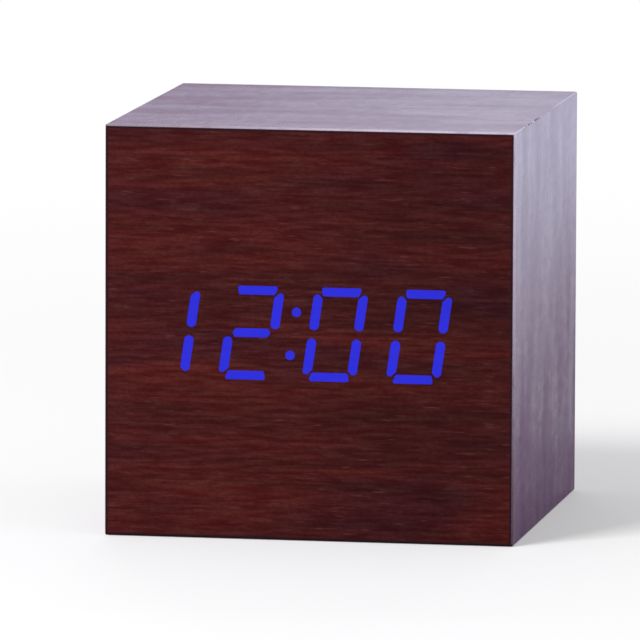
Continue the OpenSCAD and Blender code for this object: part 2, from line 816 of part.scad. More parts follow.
// A socket that stands on a board at y and opens along +Y, or along -Y where way is -1
module socket(y, z, way) {
    color(PALE) translate([socket_x, y, z]) mirror([0, way > 0 ? 0 : 1, 0]) difference() {
        translate([-socket_l / 2, 0, -socket_w / 2]) cube([socket_l, socket_h, socket_w]);
        translate([-ribbon_w / 2 - slot_gap, socket_h - ribbon_depth, -ribbon_t / 2 - slot_gap])
            cube([ribbon_w + 2 * slot_gap, ribbon_depth + past, ribbon_t + 2 * slot_gap]);
    }
}

// The ribbon leaves both sockets level and climbs from one to the other in an S
module ribbon_cable() {
    steps = 24;
    start = [display_board_y + socket_h, display_socket_z];
    stop = [control_back_y - socket_h, control_z];
    climb = [
        for (i = [0:steps])
            let (t = i / steps)
            [start.x + (stop.x - start.x) * t, start.y + (stop.y - start.y) * t * t * (3 - 2 * t)]
    ];
    middle = concat([start - [ribbon_depth, 0]], climb, [stop + [ribbon_depth, 0]]);
    color("#c9c9c4") side_plate(socket_x - ribbon_w / 2, socket_x + ribbon_w / 2) polygon(concat(
        [for (p = middle) p + [0, ribbon_t / 2]],
        [for (i = [len(middle) - 1:-1:0]) middle[i] - [0, ribbon_t / 2]]
    ));
}

// Control board and what it carries

module control_board() {
    color(BOARD_GREEN) difference() {
        box_between([-control_board_x, control_back_y, control_z - control_board_h / 2],
                    [control_board_x, control_face_y, control_z + control_board_h / 2]);
        for (s = CONTROL_SCREWS)
            y_rod(s.x, s.y, board_screw_hole_d, control_back_y - past, control_face_y + past);
        y_rod(jack_x, control_z, jack_tail_d + 2 * fit_gap, control_back_y - past, control_face_y + past);
    }
}

module control_board_screws() {
    color(METAL) for (s = CONTROL_SCREWS) board_screw(s.x, control_back_y, s.y, 1);
}

// The plunger stands in a well that is deep enough for its whole travel
module switch_body(x) {
    well_y = plunger_foot_y - button_travel - button_gap;
    color(BLACK) difference() {
        box_between([x - switch_w / 2, control_face_y, control_z - switch_w / 2],
                    [x + switch_w / 2, switch_top_y, control_z + switch_w / 2]);
        y_rod(x, control_z, plunger_d + 2 * button_gap, well_y, switch_top_y + past);
    }
}

module plunger(x) {
    color("#3a3a3c") y_rod(x, control_z, plunger_d, plunger_foot_y, flange_in_y);
}

module button(x) {
    r = button_d / 2;
    flange_r = button_flange_d / 2;
    l = cover_out_y + button_proud - flange_in_y;
    color(BLACK) y_turned(x, flange_in_y, control_z, [
        [0, 0], [flange_r, 0], [flange_r, button_flange_t], [r, button_flange_t],
        [r, l - button_chamfer], [r - button_chamfer, l], [0, l]
    ]);
}

module power_jack() {
    leaf_slot = leaf_w / 2 + leaf_gap;
    tail_y = jack_floor_y - jack_floor_t;
    color(BLACK) difference() {
        union() {
            box_between([jack_x - jack_w / 2, control_face_y, control_z - jack_w / 2],
                        [jack_x + jack_w / 2, cover_in_y - fit_gap, control_z + jack_w / 2]);
            y_rod(jack_x, control_z, jack_nose_d, control_face_y, cover_out_y);
            y_rod(jack_x, control_z, jack_tail_d, tail_y, control_face_y + past);
        }
        y_rod(jack_x, control_z, jack_bore_d, jack_floor_y, cover_out_y + past);
        y_rod(jack_x, control_z, jack_root_d + 2 * screw_gap, tail_y - past, jack_floor_y + past);
        box_between([leaf_x - leaf_t, jack_floor_y, control_z - leaf_slot],
                    [leaf_x + leaf_t + leaf_gap, cover_in_y, control_z + leaf_slot]);
    }
}

// The pin stands on a thicker root, which fills the hole in the jack's floor
module power_jack_pin() {
    r = jack_pin_d / 2;
    l = jack_floor_t + jack_bore_l - jack_pin_recess;
    color(METAL) y_turned(jack_x, jack_floor_y - jack_floor_t, control_z, [
        [0, 0], [jack_root_d / 2, 0], [jack_root_d / 2, jack_floor_t], [r, jack_floor_t],
        [r, l - r / 2], [r / 2, l], [0, l]
    ]);
}

// The leaf lies in a slot in the side of the bore
module power_jack_contact() {
    color(METAL) box_between([leaf_x, jack_floor_y + leaf_gap, control_z - leaf_w / 2],
                             [leaf_x + leaf_t, cover_in_y - leaf_gap, control_z + leaf_w / 2]);
}

module microphone() {
    r = mic_d / 2;
    color(METAL) y_turned(mic_x, control_face_y, control_z, [
        [0, 0], [r, 0], [r, mic_h - mic_rim / 2], [r - mic_rim / 2, mic_h],
        [r - mic_rim, mic_h], [r - mic_rim, mic_h - mic_dish], [0, mic_h - mic_dish]
    ]);
}

module buzzer() {
    mouth_y = control_back_y - buzzer_h;
    color(BLACK) difference() {
        y_rod(buzzer_x, control_z, buzzer_d, mouth_y, control_back_y);
        y_rod(buzzer_x, control_z, buzzer_hole_d, mouth_y - past, mouth_y + buzzer_hole_l);
    }
}

// Rear cover

// What is cut from the cover for the cells: three cradles that open into one well,
// and at each end a pocket that lets a contact pass from cradle to cradle
module bay_space() {
    for (z = CELL_Z) x_rod(cell_y, z, 2 * cradle_r, -bay_x, bay_x);
    box_between([-bay_x, cell_y, bay_low], [bay_x, cover_out_y + past, bay_high]);
    for (side = [-1, 1]) on_side(side)
        box_between([bay_x - contact_t - slot_gap, cell_y - contact_w / 2 - slot_gap, CELL_Z[0]],
                    [bay_x, cell_y + past, CELL_Z[2]]);
}

// A slot in the bay's floor for a contact's tab
module tab_slot(side, z) {
    on_side(side)
        box_between([bay_x - contact_t - slot_gap, bay_back_y - past, z - tab_w / 2 - slot_gap],
                    [bay_x, cell_y, z + tab_w / 2 + slot_gap]);
}

// The outline of the door above its hinge, grown by gap
module door_outline(gap) {
    x = door_x + gap;
    high = door_high + gap;
    for (side = [-1, 1]) translate([side * (x - door_r), high - door_r]) circle(door_r);
    translate([-x + door_r, hinge_z]) square([2 * (x - door_r), high - hinge_z]);
    translate([-x, hinge_z]) square([2 * x, high - door_r - hinge_z]);
}

// The room that the door lies in, open below its round edge so that it can swing down
module door_space() {
    x = door_x + door_gap;
    face_plate(door_in_y - door_seat, cover_out_y + past) door_outline(door_gap);
    x_rod(hinge_y, hinge_z, 2 * (barrel_r + door_gap), -x, x);
    box_between([-x, hinge_y, door_low - door_gap], [x, cover_out_y + past, hinge_z]);
    x_rod(hinge_y, hinge_z, pin_d + 2 * pin_gap, -x - pin_l, x + pin_l);
    box_between([-latch_w / 2 - latch_gap, cover_in_y - past, door_high],
                [latch_w / 2 + latch_gap, cover_out_y + past, notch_high]);
}

// A clearance hole with a countersink
module cover_screw_hole(c) {
    hole_d = cover_screw_d + 2 * fit_gap;
    sink_d = cover_screw_head_d + 2 * fit_gap;
    y_rod(c.x, c.y, hole_d, cover_in_y - past, cover_out_y + past);
    y_rod(c.x, c.y, sink_d, cover_out_y, cover_out_y + past);
    translate([c.x, cover_out_y - cover_screw_head_h, c.y]) rotate([-90, 0, 0])
        cylinder(d1 = hole_d, d2 = sink_d, h = cover_screw_head_h);
}

module cover_hole(x, d) {
    y_rod(x, control_z, d, cover_in_y - past, cover_out_y + past);
}

module rear_cover() {
    color(BLACK) difference() {
        union() {
            box_between([-room_x + fit_gap, cover_in_y, room_low + fit_gap],
                        [room_x - fit_gap, cover_out_y, room_high - fit_gap]);
            box_between([-bay_x - bay_wall, bay_back_y, bay_low - bay_wall],
                        [bay_x + bay_wall, cover_in_y + past, bay_high + bay_wall]);
            for (s = CONTROL_SCREWS) y_rod(s.x, s.y, boss_d, control_face_y, cover_in_y + past);
        }
        bay_space();
        tab_slot(1, CELL_Z[2]);
        tab_slot(-1, CELL_Z[0]);
        door_space();
        for (c = CORNERS) cover_screw_hole(c);
        for (s = CONTROL_SCREWS)
            y_rod(s.x, s.y, board_screw_hole_d,
                  control_face_y - past, control_back_y + board_screw_l + tip_gap);
        for (x = [SET_X, UP_X, DOWN_X]) cover_hole(x, button_d + 2 * button_gap);
        cover_hole(jack_x, jack_nose_d + 2 * fit_gap);
        cover_hole(mic_x, mic_hole_d);
    }
}

// A ring, a triangle that points up and one that points down
module button_marks() {
    r = mark_w / 2;
    color(PALE) face_plate(cover_out_y, cover_out_y + mark_h)
        translate([0, control_z + button_d / 2 + mark_gap + r]) {
            translate([SET_X, 0]) difference() {
                circle(r);
                circle(r - mark_ring_w);
            }
            translate([UP_X, 0]) polygon([[-r, -r], [r, -r], [0, r]]);
            translate([DOWN_X, 0]) polygon([[-r, r], [0, -r], [r, r]]);
        }
}

module cover_screws() {
    color(METAL) for (c = CORNERS) translate([c.x, cover_out_y, c.y]) rotate([90, 0, 0]) difference() {
        union() {
            cylinder(d = cover_screw_d, h = cover_screw_l);
            cylinder(d1 = cover_screw_head_d, d2 = cover_screw_d, h = cover_screw_head_h);
        }
        cross_recess();
    }
}

// Battery door

module battery_door() {
    color(BLACK) {
        face_plate(door_in_y, cover_out_y) door_outline(0);
        x_rod(hinge_y, hinge_z, 2 * barrel_r, -door_x, door_x);
        x_rod(hinge_y, hinge_z, pin_d, -door_x - pin_l, door_x + pin_l);
        box_between([-latch_w / 2, door_in_y, door_high - past],
                    [latch_w / 2, cover_out_y, latch_low + latch_t]);
        for (i = [0:grip_count - 1]) {
            l = grip_l * (1 - i / (grip_count + 1));
            translate([-l / 2, cover_out_y - grip_w, door_high - grip_drop - i * grip_pitch])
                cube([l, grip_w + grip_h, grip_w]);
        }
    }
}

// A strip bent into a U: it springs down so that its catch clears the edge of the notch
module door_latch() {
    bend_d = 2 * (latch_bend_r + latch_t);
    catch_y = cover_in_y - fit_gap;
    tip_y = cover_out_y - door_gap;
    under = latch_high - latch_t;
    color(BLACK) side_plate(-latch_w / 2, latch_w / 2) {
        translate([latch_bend_y, latch_low]) square([door_in_y - latch_bend_y, latch_t]);
        translate([latch_bend_y, under]) square([tip_y - latch_bend_y, latch_t]);
        intersection() {
            translate([latch_bend_y, latch_low + bend_d / 2]) difference() {
                circle(d = bend_d);
                circle(latch_bend_r);
            }
            translate([latch_bend_y - bend_d, latch_low]) square(bend_d);
        }
        polygon([[catch_y - catch_run, under], [catch_y, under], [catch_y, latch_high + catch_h],
                 [catch_y - catch_run, latch_high]]);
        translate([tip_y - latch_t, under - thumb_h]) square([latch_t, thumb_h + latch_t]);
    }
}

// Cells and contacts

// A cell at height z with its nub towards +X, or towards -X where way is -1
module cell(z, way) {
    r = cell_d / 2;
    body_l = cell_l - nub_h;
    edge = cell_shoulder / 2;
    color(CELL_GREEN) on_side(way) translate([-bay_x + contact_t + spring_l, cell_y, z]) rotate([0, 90, 0])
        rotate_extrude() polygon([
            [0, cell_dish], [r - cell_rim, cell_dish], [r - cell_rim, 0], [r - edge, 0], [r, edge],
            [r, body_l - cell_shoulder], [r - cell_shoulder, body_l], [nub_d / 2, body_l],
            [nub_d / 2, cell_l - edge], [nub_d / 2 - edge, cell_l], [0, cell_l]
        ]);
}

// A contact sheet on the bay's end wall from the first cell's height to the last one's,
// with dimples for the nubs that press on it and tabs that pass through the bay's floor
module contact(side, first, last, dimples, tabs) {
    color(METAL) on_side(side) {
        box_between([bay_x - contact_t, cell_y - contact_w / 2, first - contact_rise],
                    [bay_x, cell_y + contact_w / 2, last + contact_rise]);
        for (z = dimples) x_rod(cell_y, z, dimple_d, bay_x - contact_t - dimple_h, bay_x - contact_t / 2);
        for (z = tabs)
            box_between([bay_x - contact_t, bay_back_y - tab_l, z - tab_w / 2],
                        [bay_x, cell_y, z + tab_w / 2]);
    }
}

module contact_springs() {
    color(METAL) for (place = [[-1, CELL_Z[2]], [1, CELL_Z[1]], [-1, CELL_Z[0]]])
        translate([place[0] * (bay_x - contact_t), cell_y, place[1]])
            rotate([0, 0, place[0] > 0 ? 180 : 0]) tube(spring_path(), spring_wire_d, 6);
}

// A lead from a contact's tab to the control board, leaving and arriving square to both
module battery_lead(side, z, tint) {
    steps = 22;
    start = [side * (bay_x - contact_t / 2), bay_back_y - tab_l, z];
    stop = [side * lead_x, control_back_y, lead_z];
    bow = [0, -lead_bow, 0];
    path = [for (i = [0:steps]) bezier([start, start + bow, stop + bow, stop], i / steps)];
    color(tint) tube(path, lead_d, 8);
}

side_board(0, case_w, case_h);  // top_wall
side_board(90, case_h, case_w);  // right_wall
side_board(180, case_w, case_h);  // bottom_wall
side_board(-90, case_h, case_w);  // left_wall
corner_blocks();
front_board();
front_skin();
lit_segments();
display_reflector();
segment_lenses();
led_chips();
display_board();
display_board_screws();
clock_chip();
clock_crystal();
supply_capacitor();
socket(display_board_y, display_socket_z, 1);  // display_socket
ribbon_cable();
socket(control_back_y, control_z, -1);  // control_socket
control_board();
control_board_screws();
switch_body(SET_X);  // set_switch
switch_body(UP_X);  // up_switch
switch_body(DOWN_X);  // down_switch
plunger(SET_X);  // set_plunger
plunger(UP_X);  // up_plunger
plunger(DOWN_X);  // down_plunger
button(SET_X);  // set_button
button(UP_X);  // up_button
button(DOWN_X);  // down_button
power_jack();
power_jack_pin();
power_jack_contact();
microphone();
buzzer();
rear_cover();
button_marks();
cover_screws();
battery_door();
door_latch();
cell(CELL_Z[2], 1);  // upper_cell
cell(CELL_Z[1], -1);  // middle_cell
cell(CELL_Z[0], 1);  // lower_cell
contact(1, CELL_Z[2], CELL_Z[2], [CELL_Z[2]], [CELL_Z[2]]);  // positive_contact
contact(-1, CELL_Z[0], CELL_Z[0], [], [CELL_Z[0]]);  // negative_contact
contact(-1, CELL_Z[1], CELL_Z[2], [CELL_Z[1]], []);  // left_bridge_contact
contact(1, CELL_Z[0], CELL_Z[1], [CELL_Z[0]], []);  // right_bridge_contact
contact_springs();
battery_lead(1, CELL_Z[2], "firebrick");  // positive_lead
battery_lead(-1, CELL_Z[0], "#202022");  // negative_lead
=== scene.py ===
# %% [markdown]
# A cube alarm clock in dark wood-grain film, seen a little from the right and from above.
# The construction comes ready-made: boards, cover, door, buttons and cells are loaded as fixed
# pieces. This lesson gives each of them its finish, softens the moulded edges, and sets up the
# picture.

# %% Load the construction
import math

import bmesh
import bpy
from mathutils import Matrix, Vector


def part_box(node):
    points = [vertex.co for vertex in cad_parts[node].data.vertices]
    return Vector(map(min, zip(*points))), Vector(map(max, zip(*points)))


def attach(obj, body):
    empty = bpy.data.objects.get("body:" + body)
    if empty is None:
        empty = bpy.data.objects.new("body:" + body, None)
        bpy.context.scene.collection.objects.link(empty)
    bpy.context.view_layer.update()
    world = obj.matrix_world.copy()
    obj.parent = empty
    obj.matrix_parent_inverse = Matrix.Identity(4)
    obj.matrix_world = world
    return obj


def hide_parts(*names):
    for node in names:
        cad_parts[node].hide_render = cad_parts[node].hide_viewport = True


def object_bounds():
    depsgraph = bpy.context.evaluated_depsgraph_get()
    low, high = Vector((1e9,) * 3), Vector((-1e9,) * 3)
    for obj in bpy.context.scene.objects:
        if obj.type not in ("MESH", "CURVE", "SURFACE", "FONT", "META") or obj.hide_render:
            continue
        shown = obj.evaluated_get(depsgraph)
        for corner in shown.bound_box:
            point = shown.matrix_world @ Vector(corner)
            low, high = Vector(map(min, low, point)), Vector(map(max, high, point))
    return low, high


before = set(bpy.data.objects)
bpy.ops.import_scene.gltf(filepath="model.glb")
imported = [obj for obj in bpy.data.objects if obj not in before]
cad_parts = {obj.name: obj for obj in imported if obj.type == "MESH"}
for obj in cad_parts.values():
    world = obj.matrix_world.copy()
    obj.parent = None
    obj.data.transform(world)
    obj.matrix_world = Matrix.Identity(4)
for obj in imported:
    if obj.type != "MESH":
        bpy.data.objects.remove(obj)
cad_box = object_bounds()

scene = bpy.context.scene
scene.view_settings.view_transform = "Standard"
print(len(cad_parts), "pieces loaded, from", tuple(cad_box[0]), "to", tuple(cad_box[1]))

# %% [markdown]
# The camera. A long lens far away keeps the cube's edges almost parallel, as in a product
# photograph. The place was fitted to the cube's outline: it stands 10 degrees to the right of the
# front and looks down by 7 degrees. The lens shift puts the cube's middle at the right point of
# the picture without turning the camera, so the uprights stay upright.

# %% Camera
PICTURE_PIXELS = 640
FOCAL_PIXELS = 10234
CUBE_MIDDLE_PIXEL = (344.0, 310.4)
CAMERA_DISTANCE = 1.556
CAMERA_YAW = math.radians(9.83)
CAMERA_ELEVATION = math.radians(7.11)
CAMERA_ROLL = math.radians(0.23)

cube_middle = (cad_box[0] + cad_box[1]) / 2
towards_camera = Vector((
    math.sin(CAMERA_YAW) * math.cos(CAMERA_ELEVATION),
    -math.cos(CAMERA_YAW) * math.cos(CAMERA_ELEVATION),
    math.sin(CAMERA_ELEVATION),
))
camera = bpy.data.objects.new("camera", bpy.data.cameras.new("camera"))
scene.collection.objects.link(camera)
camera.data.lens = camera.data.sensor_width * FOCAL_PIXELS / PICTURE_PIXELS
camera.data.shift_x = 0.5 - CUBE_MIDDLE_PIXEL[0] / PICTURE_PIXELS
camera.data.shift_y = CUBE_MIDDLE_PIXEL[1] / PICTURE_PIXELS - 0.5
camera.data.clip_end = 3 * CAMERA_DISTANCE
aim = (-towards_camera).to_track_quat("-Z", "Y").to_matrix().to_4x4()
camera.matrix_world = (
    Matrix.Translation(cube_middle + towards_camera * CAMERA_DISTANCE)
    @ aim @ Matrix.Rotation(CAMERA_ROLL, 4, "Z")
)
scene.camera = camera
print("camera at", tuple(round(c, 3) for c in camera.location),
      "lens", round(camera.data.lens, 1), "mm")

# %% [markdown]
# Small helpers for shader nodes. A value or a link goes into a socket by the same call, so a
# material reads as a list of what feeds what. The first helpers do arithmetic and mix colours.

# %% Values and colours
def plug(tree, socket, value):
    """Link a socket to another one, or set its value."""
    if isinstance(value, bpy.types.NodeSocket):
        tree.links.new(value, socket)
    else:
        socket.default_value = value


def add(tree, kind, inputs=(), **settings):
    """Add a node with its settings, and fill its sockets by name or number."""
    made = tree.nodes.new(kind)
    for key, value in settings.items():
        setattr(made, key, value)
    for socket, value in dict(inputs).items():
        plug(tree, made.inputs[socket], value)
    return made


def math_of(tree, operation, *values):
    """One step of arithmetic."""
    return add(tree, "ShaderNodeMath", enumerate(values), operation=operation).outputs[0]


def product(tree, first, *others):
    """All the values multiplied."""
    for other in others:
        first = math_of(tree, "MULTIPLY", first, other)
    return first


def step_up(tree, value, low, high, to_low=0.0, to_high=1.0):
    """A smooth step from to_low, where the value is low, to to_high, where it is high."""
    sockets = {
        "Value": value, "From Min": low, "From Max": high, "To Min": to_low, "To Max": to_high,
    }
    step = add(tree, "ShaderNodeMapRange", sockets, interpolation_type="SMOOTHSTEP")
    return step.outputs["Result"]


def mix(tree, factor, first, second, blend="MIX"):
    """A mix of two colours."""
    sockets = {0: factor, 6: first, 7: second}
    return add(tree, "ShaderNodeMix", sockets, data_type="RGBA", blend_type=blend).outputs[2]


def shaded(tree, colour, light):
    """A colour made lighter or darker by a value or a tone near 1."""
    return mix(tree, 1.0, colour, light, blend="MULTIPLY")


def rgba(red, green, blue):
    """An opaque colour."""
    return (red, green, blue, 1.0)


print("helpers for values and colours ready")

# %% [markdown]
# Sizes in the materials are millimetres: the object's own coordinates, which are metres here, are
# scaled once. Noise is the main tool. Its values crowd round a half, and nearly all of them lie
# between 0.3 and 0.7, so that range is stretched to whatever a finish needs.

# %% Places and noise
MM = 0.001
NOISE_LOW = 0.3
NOISE_HIGH = 0.7


def place_mm(tree):
    """A point's place on the object, in millimetres."""
    place = add(tree, "ShaderNodeTexCoord").outputs["Object"]
    sockets = {"Vector": place, "Scale": (1 / MM,) * 3}
    return add(tree, "ShaderNodeMapping", sockets).outputs[0]


def axes(tree, vector):
    """The X, Y and Z of a vector."""
    return add(tree, "ShaderNodeSeparateXYZ", {0: vector}).outputs


def noise(tree, place, size, detail=2.0, roughness=0.5, distortion=0.0):
    """Cloudy noise whose spots are about size wide along X, Y and Z."""
    scaled = add(tree, "ShaderNodeMapping", {"Vector": place, "Scale": [1 / s for s in size]})
    sockets = {
        "Vector": scaled.outputs[0], "Scale": 1.0, "Detail": detail,
        "Roughness": roughness, "Distortion": distortion,
    }
    return add(tree, "ShaderNodeTexNoise", sockets).outputs["Fac"]


def spread(tree, value, low=0.0, high=1.0):
    """A noise stretched so that it goes from low to high."""
    return step_up(tree, value, NOISE_LOW, NOISE_HIGH, low, high)


def bump(tree, height, depth):
    """The normal of a surface whose height varies by depth millimetres."""
    return add(tree, "ShaderNodeBump", {"Height": height, "Distance": depth * MM}).outputs["Normal"]


print("1 unit in a material is", MM, "m")

# %% [markdown]
# The last helpers start a material or a node group, and put a material on loaded pieces. What is
# the same all over a surface is set on the shader's own socket, and what varies is linked to it.

# %% Materials and groups
def new_material(name, **constants):
    """A material with a Principled shader, whose constant sockets are set directly."""
    material = bpy.data.materials.new(name)
    material.use_nodes = True
    tree = material.node_tree
    shader = tree.nodes["Principled BSDF"].inputs
    for socket, value in constants.items():
        shader[socket.replace("_", " ")].default_value = value
    return material, tree, shader


def new_group(name, inputs, outputs):
    """A node group with named sockets, and its two ends."""
    group = bpy.data.node_groups.new(name, "ShaderNodeTree")
    for way, sockets in (("INPUT", inputs), ("OUTPUT", outputs)):
        for socket, kind in sockets.items():
            group.interface.new_socket(socket, in_out=way, socket_type="NodeSocket" + kind)
    start = group.nodes.new("NodeGroupInput")
    end = group.nodes.new("NodeGroupOutput")
    return group, start.outputs, end.inputs


def use_group(tree, group, **inputs):
    """Place a group in a material with its own values."""
    return add(tree, "ShaderNodeGroup", inputs, node_tree=group).outputs


def dress(material, *nodes):
    """Give loaded pieces a material."""
    for name in nodes:
        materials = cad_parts[name].data.materials
        materials.clear()
        materials.append(material)
    print(material.name, "on", ", ".join(nodes))


print("helpers for materials ready")

# %% [markdown]
# The stage: a pale floor and soft light. Close to the clock the floor shows its own paint and the
# clock's shadow, and further away it fades to plain white. Some of that white lies over the shadow
# even close by, more for the camera than for reflections, so the picture stays airy while the
# clock's side still mirrors a darker floor near its foot. In reflections the white is a little
# cool, as daylight is. Seen from below the floor is clear.

# %% Floor
FLOOR_HALF = 1.6
FLOOR_COLOUR = rgba(0.92, 0.92, 0.92)
PLAIN_WHITE = rgba(1, 1, 1)
MIRRORED_FLOOR = rgba(0.95, 1.01, 1.16)
FADE_START = 0.08
FADE_END = 0.50
FADE_LEAST_MIRRORED = 0.05
FADE_LEAST_SEEN = 0.30


def seen_directly(tree):
    """One where the camera, a reflection or a view through glass looks at a surface."""
    path = add(tree, "ShaderNodeLightPath").outputs
    seen = math_of(tree, "MAXIMUM", path["Is Camera Ray"], path["Is Glossy Ray"])
    return math_of(tree, "MAXIMUM", seen, path["Is Transmission Ray"])


def seen_white(tree, mirrored):
    """Plain white to the camera, and a tone of its own in reflections."""
    camera_ray = add(tree, "ShaderNodeLightPath").outputs["Is Camera Ray"]
    return mix(tree, camera_ray, mirrored, PLAIN_WHITE)


def floor_material():
    """Pale paint that fades to plain white, and nothing at all from below."""
    material = bpy.data.materials.new("pale floor")
    material.use_nodes = True
    tree = material.node_tree
    tree.nodes.clear()
    place = add(tree, "ShaderNodeTexCoord").outputs["Object"]
    away = add(tree, "ShaderNodeVectorMath", {0: place}, operation="LENGTH").outputs["Value"]
    camera_ray = add(tree, "ShaderNodeLightPath").outputs["Is Camera Ray"]
    least = step_up(tree, camera_ray, 0.0, 1.0, FADE_LEAST_MIRRORED, FADE_LEAST_SEEN)
    fade = step_up(tree, away, FADE_START, FADE_END, least, 1.0)
    shown = product(tree, fade, seen_directly(tree))
    paint = add(tree, "ShaderNodeBsdfDiffuse", {"Color": FLOOR_COLOUR}).outputs[0]
    glow = {"Color": seen_white(tree, MIRRORED_FLOOR), "Strength": 1.0}
    white = add(tree, "ShaderNodeEmission", glow).outputs[0]
    above = add(tree, "ShaderNodeMixShader", {0: shown, 1: paint, 2: white}).outputs[0]
    below = add(tree, "ShaderNodeBsdfTransparent").outputs[0]
    under = add(tree, "ShaderNodeNewGeometry").outputs["Backfacing"]
    both = add(tree, "ShaderNodeMixShader", {0: under, 1: above, 2: below}).outputs[0]
    add(tree, "ShaderNodeOutputMaterial", {"Surface": both})
    return material


def new_object(name, shape, material):
    """Turn a bmesh into an object with one material."""
    mesh = bpy.data.meshes.new(name)
    shape.to_mesh(mesh)
    shape.free()
    mesh.materials.append(material)
    made = bpy.data.objects.new(name, mesh)
    scene.collection.objects.link(made)
    return made


floor_shape = bmesh.new()
bmesh.ops.create_grid(floor_shape, x_segments=1, y_segments=1, size=FLOOR_HALF)
new_object("floor", floor_shape, floor_material())
print("floor", 2 * FLOOR_HALF, "m wide")

# %% [markdown]
# The world is white to the camera, a cool white in reflections, and a softer grey to everything
# else, so that the dark film isn't washed out. Two soft boxes shape the clock: the key lamp at the
# upper left of the camera, and a weaker one high behind the clock for its rear.

# %% World and lamps
AMBIENT = rgba(0.46, 0.46, 0.48)
MIRRORED_SKY = rgba(0.93, 0.99, 1.06)

world = bpy.data.worlds.new("studio")
world.use_nodes = True
scene.world = world
sky = world.node_tree
sky_colour = mix(sky, seen_directly(sky), AMBIENT, seen_white(sky, MIRRORED_SKY))
plug(sky, sky.nodes["Background"].inputs["Color"], sky_colour)


def soft_lamp(name, place, size, power):
    """A square soft box that shines at the clock's middle and is itself out of sight."""
    lamp = bpy.data.objects.new(name, bpy.data.lights.new(name, "AREA"))
    lamp.data.size = size
    lamp.data.energy = power
    lamp.location = place
    lamp.rotation_mode = "QUATERNION"
    lamp.rotation_quaternion = (cube_middle - Vector(place)).to_track_quat("-Z", "Y")
    lamp.visible_camera = False
    lamp.visible_glossy = False
    scene.collection.objects.link(lamp)
    print(name, power, "W")


soft_lamp("key lamp", place=(-0.50, -0.72, 0.82), size=0.40, power=11.0)
soft_lamp("rear lamp", place=(-0.12, 0.98, 0.60), size=0.60, power=2.8)

# %% [markdown]
# The wood-grain film. The real boards are fibreboard wrapped in a printed film, so the grain is a
# picture: long fine streaks and threads on a red-brown ground, broad darker bands that drift
# towards purple, and short pale dashes where pores show. Noise stretched far along the grain gives
# all of these at their own sizes. They are one group, because the front, the flat boards and the
# side boards wear the same print. First its colours, and the size of each kind of mark along the
# grain, across it and into the board.

# %% Wood print values
RED_GROUND = rgba(0.0600, 0.0078, 0.0066)
DARK_GROUND = rgba(0.0420, 0.0060, 0.0060)
PURPLE_GROUND = rgba(0.0350, 0.0054, 0.0078)
BROWN_GROUND = rgba(0.0500, 0.0108, 0.0082)
DARK_LINE = rgba(0.84, 0.53, 0.56)
PALE_LINE = rgba(1.16, 1.50, 1.46)
DARK_SPECK = rgba(0.92, 0.82, 0.82)
PALE_SPECK = rgba(1.08, 1.18, 1.18)
PALE_PORE = rgba(0.098, 0.030, 0.028)
DEEP_PORE = rgba(0.022, 0.004, 0.005)

BAND_SIZE = (70, 8, 8)
ZONE_SIZE = (30, 8, 8)
TINT_SIZE = (12, 0.8, 0.8)
STREAK_SIZE = (17, 1.5, 1.5)
THREAD_SIZE = (14, 0.45, 0.45)
LINE_SIZE = (5.2, 0.62, 0.62)
SPECK_SIZE = (0.75, 0.45, 0.45)
PORE_SIZE = (3.2, 0.36, 0.36)
SMEAR_SIZE = (26, 6, 6)
MOTTLE_SIZE = (1.6, 4, 4)

# Between which values of its noise a mark fades in, and how strong it gets
BAND_EDGES = (0.35, 0.65)
ZONE_EDGES, ZONE_STRENGTH = (0.50, 0.72), 0.85
TINT_EDGES, TINT_STRENGTH = (0.45, 0.75), 0.5
PALE_PORE_EDGES = (0.62, 0.80)
DEEP_PORE_EDGES = (0.24, 0.36)
PORE_STRENGTH = 0.6
STREAK_SHADE = (0.86, 1.14)
THREAD_SHADE = (0.90, 1.10)
# The colour is a little lighter at one end of the grain than at the other
DRIFT = (1.11, 0.83)
half_width = cad_box[1].x / MM
print("print values ready, grain drifts over", round(2 * half_width), "mm")

# %% [markdown]
# The group gives the print's colour, its height for a faint relief, and its roughness. The fine
# lines of the relief and of the gloss can be made weaker, because at a flat glance they would
# stand out as hard stripes. Broad smears and soft mottling in the gloss stay.

# %% Wood print group
GLOSS_EDGES = (0.5, 1.1)
GLOSS_BAND_SHARE = 0.6
LINE_GLOSS = (-0.12, 0.12)
SMEAR_GLOSS = (0.27, 0.37)
MOTTLE_GLOSS = (-0.03, 0.03)


